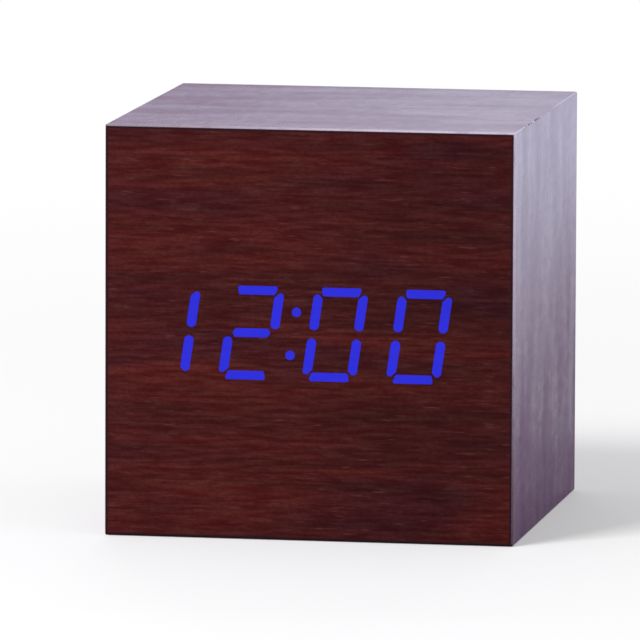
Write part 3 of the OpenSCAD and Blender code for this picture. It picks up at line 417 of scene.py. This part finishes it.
def wood_print():
    """Colour, height and roughness of the film at a place whose X runs along the grain."""
    group, given, result = new_group(
        "Wood print", {"Place": "Vector", "Fine": "Float"},
        {"Color": "Color", "Height": "Float", "Roughness": "Float"})
    place, fine = given["Place"], given["Fine"]
    band = noise(group, place, BAND_SIZE, detail=3, distortion=0.5)
    zone = noise(group, place, ZONE_SIZE, detail=1)
    tint = noise(group, place, TINT_SIZE, detail=2)
    streak = noise(group, place, STREAK_SIZE, detail=2)
    thread = noise(group, place, THREAD_SIZE, detail=1)
    line = noise(group, place, LINE_SIZE, detail=1)
    speck = noise(group, place, SPECK_SIZE, detail=1)
    pore = noise(group, place, PORE_SIZE, detail=1)
    smear = noise(group, place, SMEAR_SIZE, detail=0.6)
    mottle = noise(group, place, MOTTLE_SIZE, detail=1)
    drift = step_up(group, axes(group, place)[0], -half_width, half_width, *DRIFT)

    # Ground tones
    ground = mix(group, step_up(group, band, *BAND_EDGES), DARK_GROUND, RED_GROUND)
    purple = step_up(group, zone, *ZONE_EDGES, 0.0, ZONE_STRENGTH)
    ground = mix(group, purple, ground, PURPLE_GROUND)
    brown = step_up(group, tint, *TINT_EDGES, 0.0, TINT_STRENGTH)
    ground = mix(group, brown, ground, BROWN_GROUND)
    # Lighter and darker along the grain
    light = product(group, spread(group, streak, *STREAK_SHADE), drift,
                    spread(group, thread, *THREAD_SHADE))
    ground = shaded(group, ground, light)
    ground = shaded(group, ground, mix(group, spread(group, line), DARK_LINE, PALE_LINE))
    ground = shaded(group, ground, mix(group, spread(group, speck), DARK_SPECK, PALE_SPECK))
    # Pores
    pale = step_up(group, pore, *PALE_PORE_EDGES, 0.0, PORE_STRENGTH)
    deep = step_up(group, pore, *DEEP_PORE_EDGES, PORE_STRENGTH, 0.0)
    ground = mix(group, deep, mix(group, pale, ground, PALE_PORE), DEEP_PORE)
    plug(group, result["Color"], ground)
    # Relief
    lines = math_of(group, "MULTIPLY", line, fine)
    plug(group, result["Height"], math_of(group, "ADD", lines, streak))
    # Gloss
    gloss = math_of(group, "ADD", streak, math_of(group, "MULTIPLY", band, GLOSS_BAND_SHARE))
    lined = math_of(group, "MULTIPLY", step_up(group, gloss, *GLOSS_EDGES, *LINE_GLOSS), fine)
    uneven = math_of(group, "ADD", spread(group, smear, *SMEAR_GLOSS),
                     spread(group, mottle, *MOTTLE_GLOSS))
    plug(group, result["Roughness"], math_of(group, "ADD", uneven, lined))
    return group


PRINT = wood_print()
print("group", PRINT.name, "with", len(PRINT.nodes), "nodes")

# %% [markdown]
# Wear and painted highlights on the boards. A pale line is painted along the front rim as a
# highlight, brightest towards the upper right corner, where the light catches it. The long edge
# between the top and the right board is a mitre: a pale cool highlight is painted along it, with a
# few dark nicks near the front. These marks lie where the rim's slope and the rounded edges are, so
# the surface's own direction finds them. The coat's strength is painted by place as well, most of
# all towards that corner and least near the table, standing in for how the reflection falls. The
# pairs below say between which slants of the surface a mark fades in.

# %% Board wear and highlight values
FACES_SLOPE = (0.25, 0.5)
FACES_FRONT = (0.98, 0.9)
FACES_OUT = (0.3, 0.5)
FACES_FLAT = (0.9, 0.98)
FACES_MITRE = (0.2, 0.45)
FACES_UP = (0.4, 0.6)
RIM_ALONG_TOP = (0.30, 0.59)
RIM_ALONG_RIGHT = (0.12, 0.88)
HIGHLIGHT_BREAKUP_SIZE = (2.6, 2.6, 2.6)
HIGHLIGHT_BREAKUP_EDGES = (0.2, 0.5)
HIGHLIGHT_BREAKUP_STRENGTH = (0.7, 1.0)
STRIP_DEPTHS = (2.4, 0.4)
STRIP_ON_TOP = 0.3
STRIP_ON_RIGHT = 0.45
CHIP_SIZE = (50, 3.0, 50)
CHIP_EDGES = (0.46, 0.54)
SEAM_AT_REAR = 0.65
SEAM_STRENGTH = (0.2, 1.0)
COAT_UP_SIDE = (0.06, 1.0)
COAT_ALONG_TOP = (0.24, 0.66)
COAT_BREAKUP_SIZE = (12, 4, 12)
COAT_BREAKUP = (0.90, 1.10)
# The strip of painted sheen reaches this far behind the front rim
print("wear reaches", STRIP_DEPTHS[0], "mm behind the front rim")


# %% [markdown]
# The group splits the marks into four masks, so that each can have its own tone or use: the rim's
# painted highlight with a painted sheen strip behind it, the painted highlight along the mitre's
# seam, the nicks in it, and the coat's painted gradient.

# %% Board wear and highlight group
def board_wear_and_highlights():
    """Masks for the painted highlights on the rim and seam, the dark nicks, and the coat's
    gradient.
    """
    group, given, result = new_group(
        "Board wear and highlights", {"Place": "Vector", "Normal": "Vector"},
        {"Rim highlight": "Float", "Seam": "Float", "Nick": "Float", "Coat gradient": "Float"})
    place = given["Place"]
    x, y, z = axes(group, place)
    nx, ny, nz = axes(group, given["Normal"])
    low, high = (corner / MM for corner in cad_box)
    # The sloped rim round the front faces forwards and outwards at once
    forward = math_of(group, "MULTIPLY", ny, -1.0)
    slope = product(group, step_up(group, forward, *FACES_SLOPE),
                    step_up(group, forward, *FACES_FRONT))
    # A highlight is painted pale along the upper and right edges, towards the corner between them
    along_top = step_up(group, x, low.x, 0.5 * high.x, *RIM_ALONG_TOP)
    along_right = step_up(group, z, low.z, 0.9 * high.z, *RIM_ALONG_RIGHT)
    on_top = product(group, step_up(group, nz, *FACES_OUT), along_top)
    on_right = product(group, step_up(group, nx, *FACES_OUT), along_right)
    # Noise breaks the painted highlight up
    highlight_breakup = step_up(group, noise(group, place, HIGHLIGHT_BREAKUP_SIZE), *HIGHLIGHT_BREAKUP_EDGES, *HIGHLIGHT_BREAKUP_STRENGTH)
    rim = product(group, slope, math_of(group, "MAXIMUM", on_top, on_right), highlight_breakup)
    # A fainter painted sheen lies in a strip just behind it on the two faces
    strip = step_up(group, y, *(low.y + depth for depth in STRIP_DEPTHS))
    flat = math_of(group, "MAXIMUM", step_up(group, nz, *FACES_FLAT, 0.0, STRIP_ON_TOP),
                   step_up(group, nx, *FACES_FLAT, 0.0, STRIP_ON_RIGHT))
    strip_sheen = product(group, strip, flat, math_of(group, "MINIMUM", along_top, along_right))
    plug(group, result["Rim highlight"], math_of(group, "MAXIMUM", rim, strip_sheen))
    # The long mitred edge on the upper right faces up and to the right at once
    mitre = product(group, step_up(group, nx, *FACES_MITRE), step_up(group, nz, *FACES_MITRE))
    at_rear = step_up(group, y, 0.0, 0.4 * high.y)
    at_front = step_up(group, y, 0.05 * low.y, 0.35 * low.y)
    kept = math_of(group, "MAXIMUM", math_of(group, "MULTIPLY", at_rear, SEAM_AT_REAR), at_front)
    # A pale painted highlight runs along it, strongest near the front, less at the rear, faint
    # between
    seam_highlight = product(group, mitre, step_up(group, kept, 0.0, 1.0, *SEAM_STRENGTH))
    plug(group, result["Seam"], seam_highlight)
    # It is chipped near the front, but not right at the corner
    near_front = product(group, step_up(group, y, 0.15 * low.y, 0.3 * low.y),
                         step_up(group, y, 0.9 * low.y, 0.75 * low.y))
    chipped = step_up(group, noise(group, place, CHIP_SIZE), *CHIP_EDGES)
    nick = product(group, mitre, near_front, chipped)
    plug(group, result["Nick"], nick)
    # The coat's strength is painted to rise towards the upper right corner and fall near the table,
    # standing in for how the reflection falls, unevenly
    on_side = step_up(group, z, 0.24 * high.z, high.z, *COAT_UP_SIDE)
    on_flat = step_up(group, x, low.x, high.x, *COAT_ALONG_TOP)
    coat_breakup = spread(group, noise(group, place, COAT_BREAKUP_SIZE), *COAT_BREAKUP)
    coat_gradient = product(group, step_up(group, nz, *FACES_UP, on_side, on_flat), coat_breakup)
    whole = math_of(group, "SUBTRACT", 1.0, nick)
    plug(group, result["Coat gradient"], product(group, coat_gradient, whole))
    return group


WEAR_AND_HIGHLIGHTS = board_wear_and_highlights()
print("group", WEAR_AND_HIGHLIGHTS.name, "with", len(WEAR_AND_HIGHLIGHTS.nodes), "nodes")

# %% [markdown]
# The film's finish is satin: nearly matt when looked at squarely, so the front stays dark, but
# with a soft lavender-grey sheen along a flat glance, which is how the top and the side are seen
# here. Two thin layers of a low IOR, the film and its clear coat, mirror strongly only at a flat
# glance, and the shader's sheen gives the glance its tint. The coat is smoother than the film
# under it, and on the boards its strength follows a painted gradient that stands in for how the
# reflection falls: the side board fades from bright at its upper end to dark near the table.

# %% Film materials
FILM_FINISH = {
    "IOR": 1.11, "Coat_Weight": 0.10, "Coat_IOR": 1.23, "Coat_Roughness": 0.14,
    "Sheen_Weight": 0.58, "Sheen_Roughness": 0.28, "Sheen_Tint": rgba(0.61, 0.33, 0.84),
}
FRONT_GRAIN = {"fine": 1.0, "depth": 0.012}
BOARD_GRAIN = {"fine": 0.25, "depth": 0.008}
# Painted highlight colours: warm on the front rim, cool along the mitred seam
RIM_HIGHLIGHT = rgba(0.88, 0.76, 0.91)
SEAM_HIGHLIGHT = rgba(0.48, 0.48, 0.60)
# Dark tone of the nicks, and of the front's edge line, which is partly painted shade
DARK_NICK_AND_EDGE_SHADE = rgba(0.020, 0.006, 0.008)
# The front's dark border, partly painted shade, fades in between these distances from its edge
BORDER_EDGES = (0.408, 0.204)
ALONG_X = (0, 0, 0)
ALONG_Z = (0, math.radians(90), 0)


def film_surface(name, grain_turn, fine, depth):
    """A film material whose grain is turned from the X axis and has a depth in millimetres."""
    material, tree, shader = new_material(name, **FILM_FINISH)
    place = place_mm(tree)
    turned = add(tree, "ShaderNodeMapping", {"Vector": place, "Rotation": grain_turn}).outputs[0]
    printed = use_group(tree, PRINT, Place=turned, Fine=fine)
    plug(tree, shader["Roughness"], printed["Roughness"])
    plug(tree, shader["Normal"], bump(tree, printed["Height"], depth))
    return material, tree, shader, place, printed["Color"]


def board_film(name, grain_turn):
    """Film on a side board, with its wear and painted highlights."""
    material, tree, shader, place, colour = film_surface(name, grain_turn, **BOARD_GRAIN)
    facing = add(tree, "ShaderNodeTexCoord").outputs["Normal"]
    marked = use_group(tree, WEAR_AND_HIGHLIGHTS, Place=place, Normal=facing)
    # Painted highlights on the rim and the mitred seam, and dark nicks in the film
    colour = mix(tree, marked["Rim highlight"], colour, RIM_HIGHLIGHT)
    colour = mix(tree, marked["Seam"], colour, SEAM_HIGHLIGHT)
    plug(tree, shader["Base Color"], mix(tree, marked["Nick"], colour, DARK_NICK_AND_EDGE_SHADE))
    # The coat's strength follows a painted gradient that stands in for how the reflection falls
    plug(tree, shader["Coat Weight"], marked["Coat gradient"])
    return material


def front_film(name):
    """Film on the front skin, darker in a thin line round its edge: the cut edge and painted shade.
    """
    material, tree, shader, place, colour = film_surface(name, ALONG_X, **FRONT_GRAIN)
    low, high = (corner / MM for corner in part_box("front_skin"))
    across = axes(tree, place)
    to_side = math_of(tree, "SUBTRACT", high.x, math_of(tree, "ABSOLUTE", across["X"]))
    to_bottom = math_of(tree, "SUBTRACT", across["Z"], low.z)
    to_top = math_of(tree, "SUBTRACT", high.z, across["Z"])
    to_edge = math_of(tree, "MINIMUM", to_side, math_of(tree, "MINIMUM", to_bottom, to_top))
    # The thin dark line is partly the film's cut edge, partly painted shade of the gap round it
    border = step_up(tree, to_edge, *BORDER_EDGES)
    plug(tree, shader["Base Color"], mix(tree, border, colour, DARK_NICK_AND_EDGE_SHADE))
    return material


dress(board_film("flat board film", ALONG_X), "top_wall", "bottom_wall")
dress(board_film("side board film", ALONG_Z), "left_wall", "right_wall")
dress(front_film("front film"), "front_skin")

# %% [markdown]
# The digits. Light-emitting segments shine through the thin film, so on the outside a digit is
# nothing but an even blue patch. Emission of strength 1 shows the colour as it is written, and the
# grain of the film passes over it very faintly.

# %% Lit digits
DIGIT_BLUE = rgba(0.025, 0.026, 0.700)
UNLIT = rgba(0.004, 0.004, 0.010)
LIT_GRAIN_EDGES = (0.7, 1.3)
LIT_SHADE = (0.94, 1.04)


def lit_film(name):
    """Film with light behind it."""
    material, tree, shader = new_material(
        name, Base_Color=UNLIT, Roughness=0.5, IOR=1.05, Emission_Strength=1.0)
    grain = use_group(tree, PRINT, Place=place_mm(tree), Fine=1.0)["Height"]
    shade = step_up(tree, grain, *LIT_GRAIN_EDGES, *LIT_SHADE)
    plug(tree, shader["Emission Color"], shaded(tree, DIGIT_BLUE, shade))
    return material


dress(lit_film("lit film"), "lit_segments")

# %% [markdown]
# Moulded plastic. The cover, its door and the buttons come out of a spark-eroded mould, which
# leaves a fine even grain, and the plastic cools with faint broad flow marks. One group makes grain
# and flow for all the plastics, and each material says how deep its grain is.

# %% Moulded skin group
MOULD_GRAIN_SIZE = (0.17, 0.17, 0.17)
FLOW_SIZE = (9, 5, 9)
FLOW_SHADE = (0.86, 1.14)
MOULD_GRAIN_SHADE = (0.90, 1.10)
SKIN_SHADE_EDGES = (0.8, 1.2)


def moulded_skin():
    """Shade and height of a moulded surface: fine grain over broad flow marks."""
    group, given, result = new_group(
        "Moulded skin", {"Place": "Vector"}, {"Shade": "Float", "Height": "Float"})
    grain = noise(group, given["Place"], MOULD_GRAIN_SIZE, detail=2, roughness=0.6)
    flow = noise(group, given["Place"], FLOW_SIZE, detail=2)
    plug(group, result["Height"], grain)
    plug(group, result["Shade"], product(
        group, spread(group, flow, *FLOW_SHADE), spread(group, grain, *MOULD_GRAIN_SHADE)))
    return group


MOULDED = moulded_skin()
print("group", MOULDED.name, "with", len(MOULDED.nodes), "nodes")

# %% [markdown]
# The plastics themselves. Sockets, switches, sleeves and wires are smoother or glossier than the
# cover. Where a surface is a little darker it is also a little duller.

# %% Plastics
DULLER = 0.06
LENS_CLEARNESS = 0.3


def plastic(name, colour, roughness, grain_depth, **constants):
    """Moulded plastic of one colour, with a grain of a depth in millimetres."""
    material, tree, shader = new_material(name, **constants)
    skin = use_group(tree, MOULDED, Place=place_mm(tree))
    uneven = step_up(tree, skin["Shade"], *SKIN_SHADE_EDGES, roughness + DULLER, roughness - DULLER)
    plug(tree, shader["Base Color"], shaded(tree, rgba(*colour), skin["Shade"]))
    plug(tree, shader["Roughness"], uneven)
    plug(tree, shader["Normal"], bump(tree, skin["Height"], grain_depth))
    return material


# Name, colour, roughness, depth of the grain, pieces
PLASTICS = (
    ("black moulded plastic", (0.013, 0.013, 0.014), 0.48, 0.030,
     ("rear_cover", "battery_door", "door_latch", "power_jack")),
    ("smooth black plastic", (0.017, 0.017, 0.018), 0.34, 0.006,
     ("set_button", "up_button", "down_button")),
    ("white plastic", (0.80, 0.80, 0.76), 0.45, 0.008,
     ("display_reflector", "display_socket", "control_socket")),
    ("yellow phosphor resin", (0.81, 0.65, 0.15), 0.30, 0.004, ("led_chips",)),
    ("black resin", (0.012, 0.012, 0.013), 0.55, 0.015,
     ("clock_chip", "set_switch", "up_switch", "down_switch", "buzzer")),
    ("grey plunger plastic", (0.042, 0.042, 0.045), 0.40, 0.006,
     ("set_plunger", "up_plunger", "down_plunger")),
    ("dark blue sleeve", (0.024, 0.033, 0.080), 0.28, 0.004, ("supply_capacitor",)),
    ("white ink", (0.70, 0.70, 0.68), 0.60, 0.004, ("button_marks",)),
    ("red wire insulation", (0.45, 0.016, 0.016), 0.38, 0.004, ("positive_lead",)),
    ("black wire insulation", (0.014, 0.014, 0.016), 0.38, 0.004, ("negative_lead",)),
)
for name, colour, roughness, grain_depth, nodes in PLASTICS:
    dress(plastic(name, colour, roughness, grain_depth), *nodes)
lens_resin = plastic("milky lens resin", (0.82, 0.82, 0.78), 0.25, 0.003,
                     Transmission_Weight=LENS_CLEARNESS)
dress(lens_resin, "segment_lenses")

# %% [markdown]
# Metal parts: nickel-plated battery contacts and springs, zinc-plated screws and tin-plated cans.
# Drawing and rolling leave fine lines, and plating varies a little in tone. A group makes both,
# and the materials differ in colour and polish.

# %% Metals
DRAWN_LINE_SIZE = (0.12, 0.12, 5)
CLOUD_SIZE = (1.6, 1.6, 1.6)
CLOUD_SHADE = (0.86, 1.08)
DRAWN_LINE_SHADE = (0.93, 1.05)
LINE_DULLNESS = 0.07
LINE_DEPTH = 0.004


def drawn_metal():
    """Shade and lines of plated metal that was drawn or rolled."""
    group, given, result = new_group(
        "Drawn metal", {"Place": "Vector"}, {"Shade": "Float", "Lines": "Float"})
    lines = noise(group, given["Place"], DRAWN_LINE_SIZE, detail=2)
    cloud = noise(group, given["Place"], CLOUD_SIZE, detail=3)
    plug(group, result["Lines"], lines)
    plug(group, result["Shade"], product(
        group, spread(group, cloud, *CLOUD_SHADE), spread(group, lines, *DRAWN_LINE_SHADE)))
    return group


DRAWN = drawn_metal()


def metal(name, colour, roughness):
    """Plated metal of one colour."""
    material, tree, shader = new_material(name, Metallic=1.0)
    surface = use_group(tree, DRAWN, Place=place_mm(tree))
    uneven = spread(tree, surface["Lines"], roughness - LINE_DULLNESS, roughness + LINE_DULLNESS)
    plug(tree, shader["Base Color"], shaded(tree, rgba(*colour), surface["Shade"]))
    plug(tree, shader["Roughness"], uneven)
    plug(tree, shader["Normal"], bump(tree, surface["Lines"], LINE_DEPTH))
    return material


# Name, colour, roughness, pieces
METALS = (
    ("zinc-plated steel", (0.50, 0.51, 0.53), 0.34,
     ("display_board_screws", "control_board_screws", "cover_screws")),
    ("tin-plated can", (0.55, 0.56, 0.58), 0.30, ("clock_crystal", "microphone")),
    ("nickel plate", (0.58, 0.57, 0.54), 0.25,
     ("power_jack_pin", "power_jack_contact", "positive_contact", "negative_contact",
      "left_bridge_contact", "right_bridge_contact", "contact_springs")),
)
for name, colour, roughness, nodes in METALS:
    dress(metal(name, colour, roughness), *nodes)

# %% [markdown]
# The cells. A cell's printed sleeve is shrunk over a steel can: plain green over most of its
# length, with a copper-coloured band at the end that has the nub, and bare steel at both ends. The
# middle cell lies the other way round, so the bands are counted from each cell's own nub.

# %% Cells
SLEEVE_GREEN = rgba(0.20, 0.31, 0.045)
SLEEVE_COPPER = rgba(0.62, 0.33, 0.13)
CELL_STEEL = rgba(0.56, 0.56, 0.55)
SLEEVE_IOR = 1.5
SLEEVE_ROUGHNESS = (0.22, 0.34)
COPPER_METALLIC = 0.8
SHOULDER = 1.25
COPPER_BAND = 9.5
BASE_RIM = 0.4
PRINT_BLUR = 0.04


def cell_sleeve(node, nub_side):
    """The sleeve of one cell, with its nub on the right (1) or the left (-1)."""
    material, tree, shader = new_material(node.replace("_", " ") + " sleeve", IOR=SLEEVE_IOR)
    place = place_mm(tree)
    low, high = (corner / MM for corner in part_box(node))
    nub = high.x if nub_side > 0 else low.x
    from_nub = math_of(tree, "SUBTRACT", nub, axes(tree, place)["X"])
    depth = math_of(tree, "MULTIPLY", from_nub, nub_side)
    base = high.x - low.x - BASE_RIM
    copper = step_up(tree, depth, COPPER_BAND + PRINT_BLUR, COPPER_BAND - PRINT_BLUR)
    at_nub = step_up(tree, depth, SHOULDER + PRINT_BLUR, SHOULDER - PRINT_BLUR)
    at_base = step_up(tree, depth, base - PRINT_BLUR, base + PRINT_BLUR)
    steel = math_of(tree, "MAXIMUM", at_nub, at_base)
    surface = use_group(tree, DRAWN, Place=place)
    colour = mix(tree, steel, mix(tree, copper, SLEEVE_GREEN, SLEEVE_COPPER), CELL_STEEL)
    metallic = math_of(tree, "MAXIMUM", steel, math_of(tree, "MULTIPLY", copper, COPPER_METALLIC))
    plug(tree, shader["Base Color"], shaded(tree, colour, surface["Shade"]))
    plug(tree, shader["Metallic"], metallic)
    plug(tree, shader["Roughness"], spread(tree, surface["Lines"], *SLEEVE_ROUGHNESS))
    return material


for cell, nub_side in (("upper_cell", 1), ("middle_cell", -1), ("lower_cell", 1)):
    dress(cell_sleeve(cell, nub_side), cell)

# %% [markdown]
# Bare fibreboard is pressed from short fibres, so it is mottled and fuzzy, and has no direction.
# Twisted noise gives the fibres, and a broader noise the mottling.

# %% Fibreboard
FIBRE_BROWN = rgba(0.40, 0.22, 0.10)
FIBRE_SIZE = (0.9, 0.35, 0.9)
FIBRE_SHADE = (0.75, 1.2)
FIBRE_DEPTH = 0.06
FIBRE_MOTTLE_SIZE = (7, 7, 7)
FIBRE_MOTTLE_SHADE = (0.9, 1.1)


def fibreboard(name):
    """Bare pressed fibres."""
    material, tree, shader = new_material(name, Roughness=0.85)
    place = place_mm(tree)
    fibre = noise(tree, place, FIBRE_SIZE, detail=4, roughness=0.7, distortion=1.0)
    mottle = noise(tree, place, FIBRE_MOTTLE_SIZE, detail=2)
    light = product(tree, spread(tree, fibre, *FIBRE_SHADE),
                    spread(tree, mottle, *FIBRE_MOTTLE_SHADE))
    plug(tree, shader["Base Color"], shaded(tree, FIBRE_BROWN, light))
    plug(tree, shader["Normal"], bump(tree, fibre, FIBRE_DEPTH))
    return material


dress(fibreboard("bare fibreboard"), "corner_blocks", "front_board")

# %% [markdown]
# A circuit board is glass laminate under green lacquer, with copper tracks that show as slightly
# paler lines. A brick pattern turned onto the board's face makes such rows. A ribbon cable is a row
# of round wires, so its surface goes up and down across its width, as a sine wave does.

# %% Circuit boards and ribbon
LACQUER_TRACK = rgba(0.016, 0.125, 0.045)
LACQUER_OTHER_TRACK = rgba(0.014, 0.102, 0.037)
LACQUER_GAP = rgba(0.010, 0.066, 0.026)
LACQUER_IOR = 1.5
LACQUER_ROUGHNESS = (0.34, 0.22)
TRACK_LENGTH = 3.4
TRACK_PITCH = 1.27
TRACK_GAP = 0.14
RIBBON_GREY = rgba(0.58, 0.58, 0.55)
WIRE_PITCH = 1.27
GROOVE_EDGES = (-1.0, -0.4)
GROOVE_SHADE = (0.7, 1.0)
GROOVE_DEPTH = 0.2
ONTO_FACE = (math.radians(90), 0, 0)


def lacquered_board(name):
    """Green lacquer over a pattern of copper tracks on the board's X-Z face."""
    material, tree, shader = new_material(name, IOR=LACQUER_IOR)
    place = place_mm(tree)
    flat = add(tree, "ShaderNodeMapping", {"Vector": place, "Rotation": ONTO_FACE}).outputs[0]
    sockets = {
        "Vector": flat, "Scale": 1.0, "Brick Width": TRACK_LENGTH, "Row Height": TRACK_PITCH,
        "Mortar Size": TRACK_GAP, "Color1": LACQUER_TRACK, "Color2": LACQUER_OTHER_TRACK,
        "Mortar": LACQUER_GAP,
    }
    tracks = add(tree, "ShaderNodeTexBrick", sockets).outputs["Color"]
    skin = use_group(tree, MOULDED, Place=place)
    plug(tree, shader["Base Color"], shaded(tree, tracks, skin["Shade"]))
    plug(tree, shader["Roughness"],
         step_up(tree, skin["Shade"], *SKIN_SHADE_EDGES, *LACQUER_ROUGHNESS))
    return material


def ribbon(name):
    """Grey insulation with a ridge over each wire, and painted shade in the grooves between."""
    material, tree, shader = new_material(name, Roughness=0.5)
    place = place_mm(tree)
    turns = math_of(tree, "MULTIPLY", axes(tree, place)["X"], 2 * math.pi / WIRE_PITCH)
    wave = math_of(tree, "SINE", turns)
    skin = use_group(tree, MOULDED, Place=place)
    # The grooves between the wires get painted shade
    painted_groove_shade = product(tree, skin["Shade"], step_up(tree, wave, *GROOVE_EDGES, *GROOVE_SHADE))
    plug(tree, shader["Base Color"], shaded(tree, RIBBON_GREY, painted_groove_shade))
    plug(tree, shader["Normal"], bump(tree, wave, GROOVE_DEPTH))
    return material


dress(lacquered_board("green circuit board"), "display_board", "control_board")
dress(ribbon("grey ribbon"), "ribbon_cable")

# %% [markdown]
# Softer moulded edges. A moulded edge is never knife-sharp: it has a tiny radius that catches a
# line of light. The loaded pieces have true edges, so a copy of each moulded piece gets its outer
# edges rolled over with bevel, and stands in for the original. The loaded mesh is loose triangles,
# so the copy is merged and its flat faces joined first. Only outward edges are rolled: material is
# taken off and none is added.

# %% Softened moulded pieces
SHARP = math.radians(38)
FLAT = math.radians(0.5)
MERGE = 0.0005 * MM
ROLL_SEGMENTS = 2


def softened(node, body, width):
    """Stand a copy with edges rolled by a width in millimetres in for a loaded piece."""
    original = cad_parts[node]
    shape = bmesh.new()
    shape.from_mesh(original.data)
    bmesh.ops.remove_doubles(shape, verts=shape.verts, dist=MERGE)
    bmesh.ops.dissolve_limit(shape, angle_limit=FLAT, verts=shape.verts, edges=shape.edges)
    outer = [edge for edge in shape.edges
             if edge.is_manifold and edge.is_convex and edge.calc_face_angle() > SHARP]
    bmesh.ops.bevel(shape, geom=outer, offset=width * MM, affect="EDGES", segments=ROLL_SEGMENTS,
                    profile=0.5, material=-1, clamp_overlap=True)
    for face in shape.faces:
        face.smooth = True
    for edge in shape.edges:
        edge.smooth = edge.is_manifold and edge.calc_face_angle() < SHARP
    piece = new_object(node + "_soft", shape, original.data.materials[0])
    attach(piece, body)
    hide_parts(node)
    print(node, "softened:", len(outer), "edges rolled,", len(piece.data.polygons), "faces")
    return piece


for node, body, width in (
    ("rear_cover", "case", 0.15),
    ("battery_door", "battery_door", 0.15),
    ("door_latch", "battery_door", 0.10),
    ("power_jack", "case", 0.15),
    ("set_button", "set_button", 0.18),
    ("up_button", "up_button", 0.18),
    ("down_button", "down_button", 0.18),
):
    softened(node, body, width)
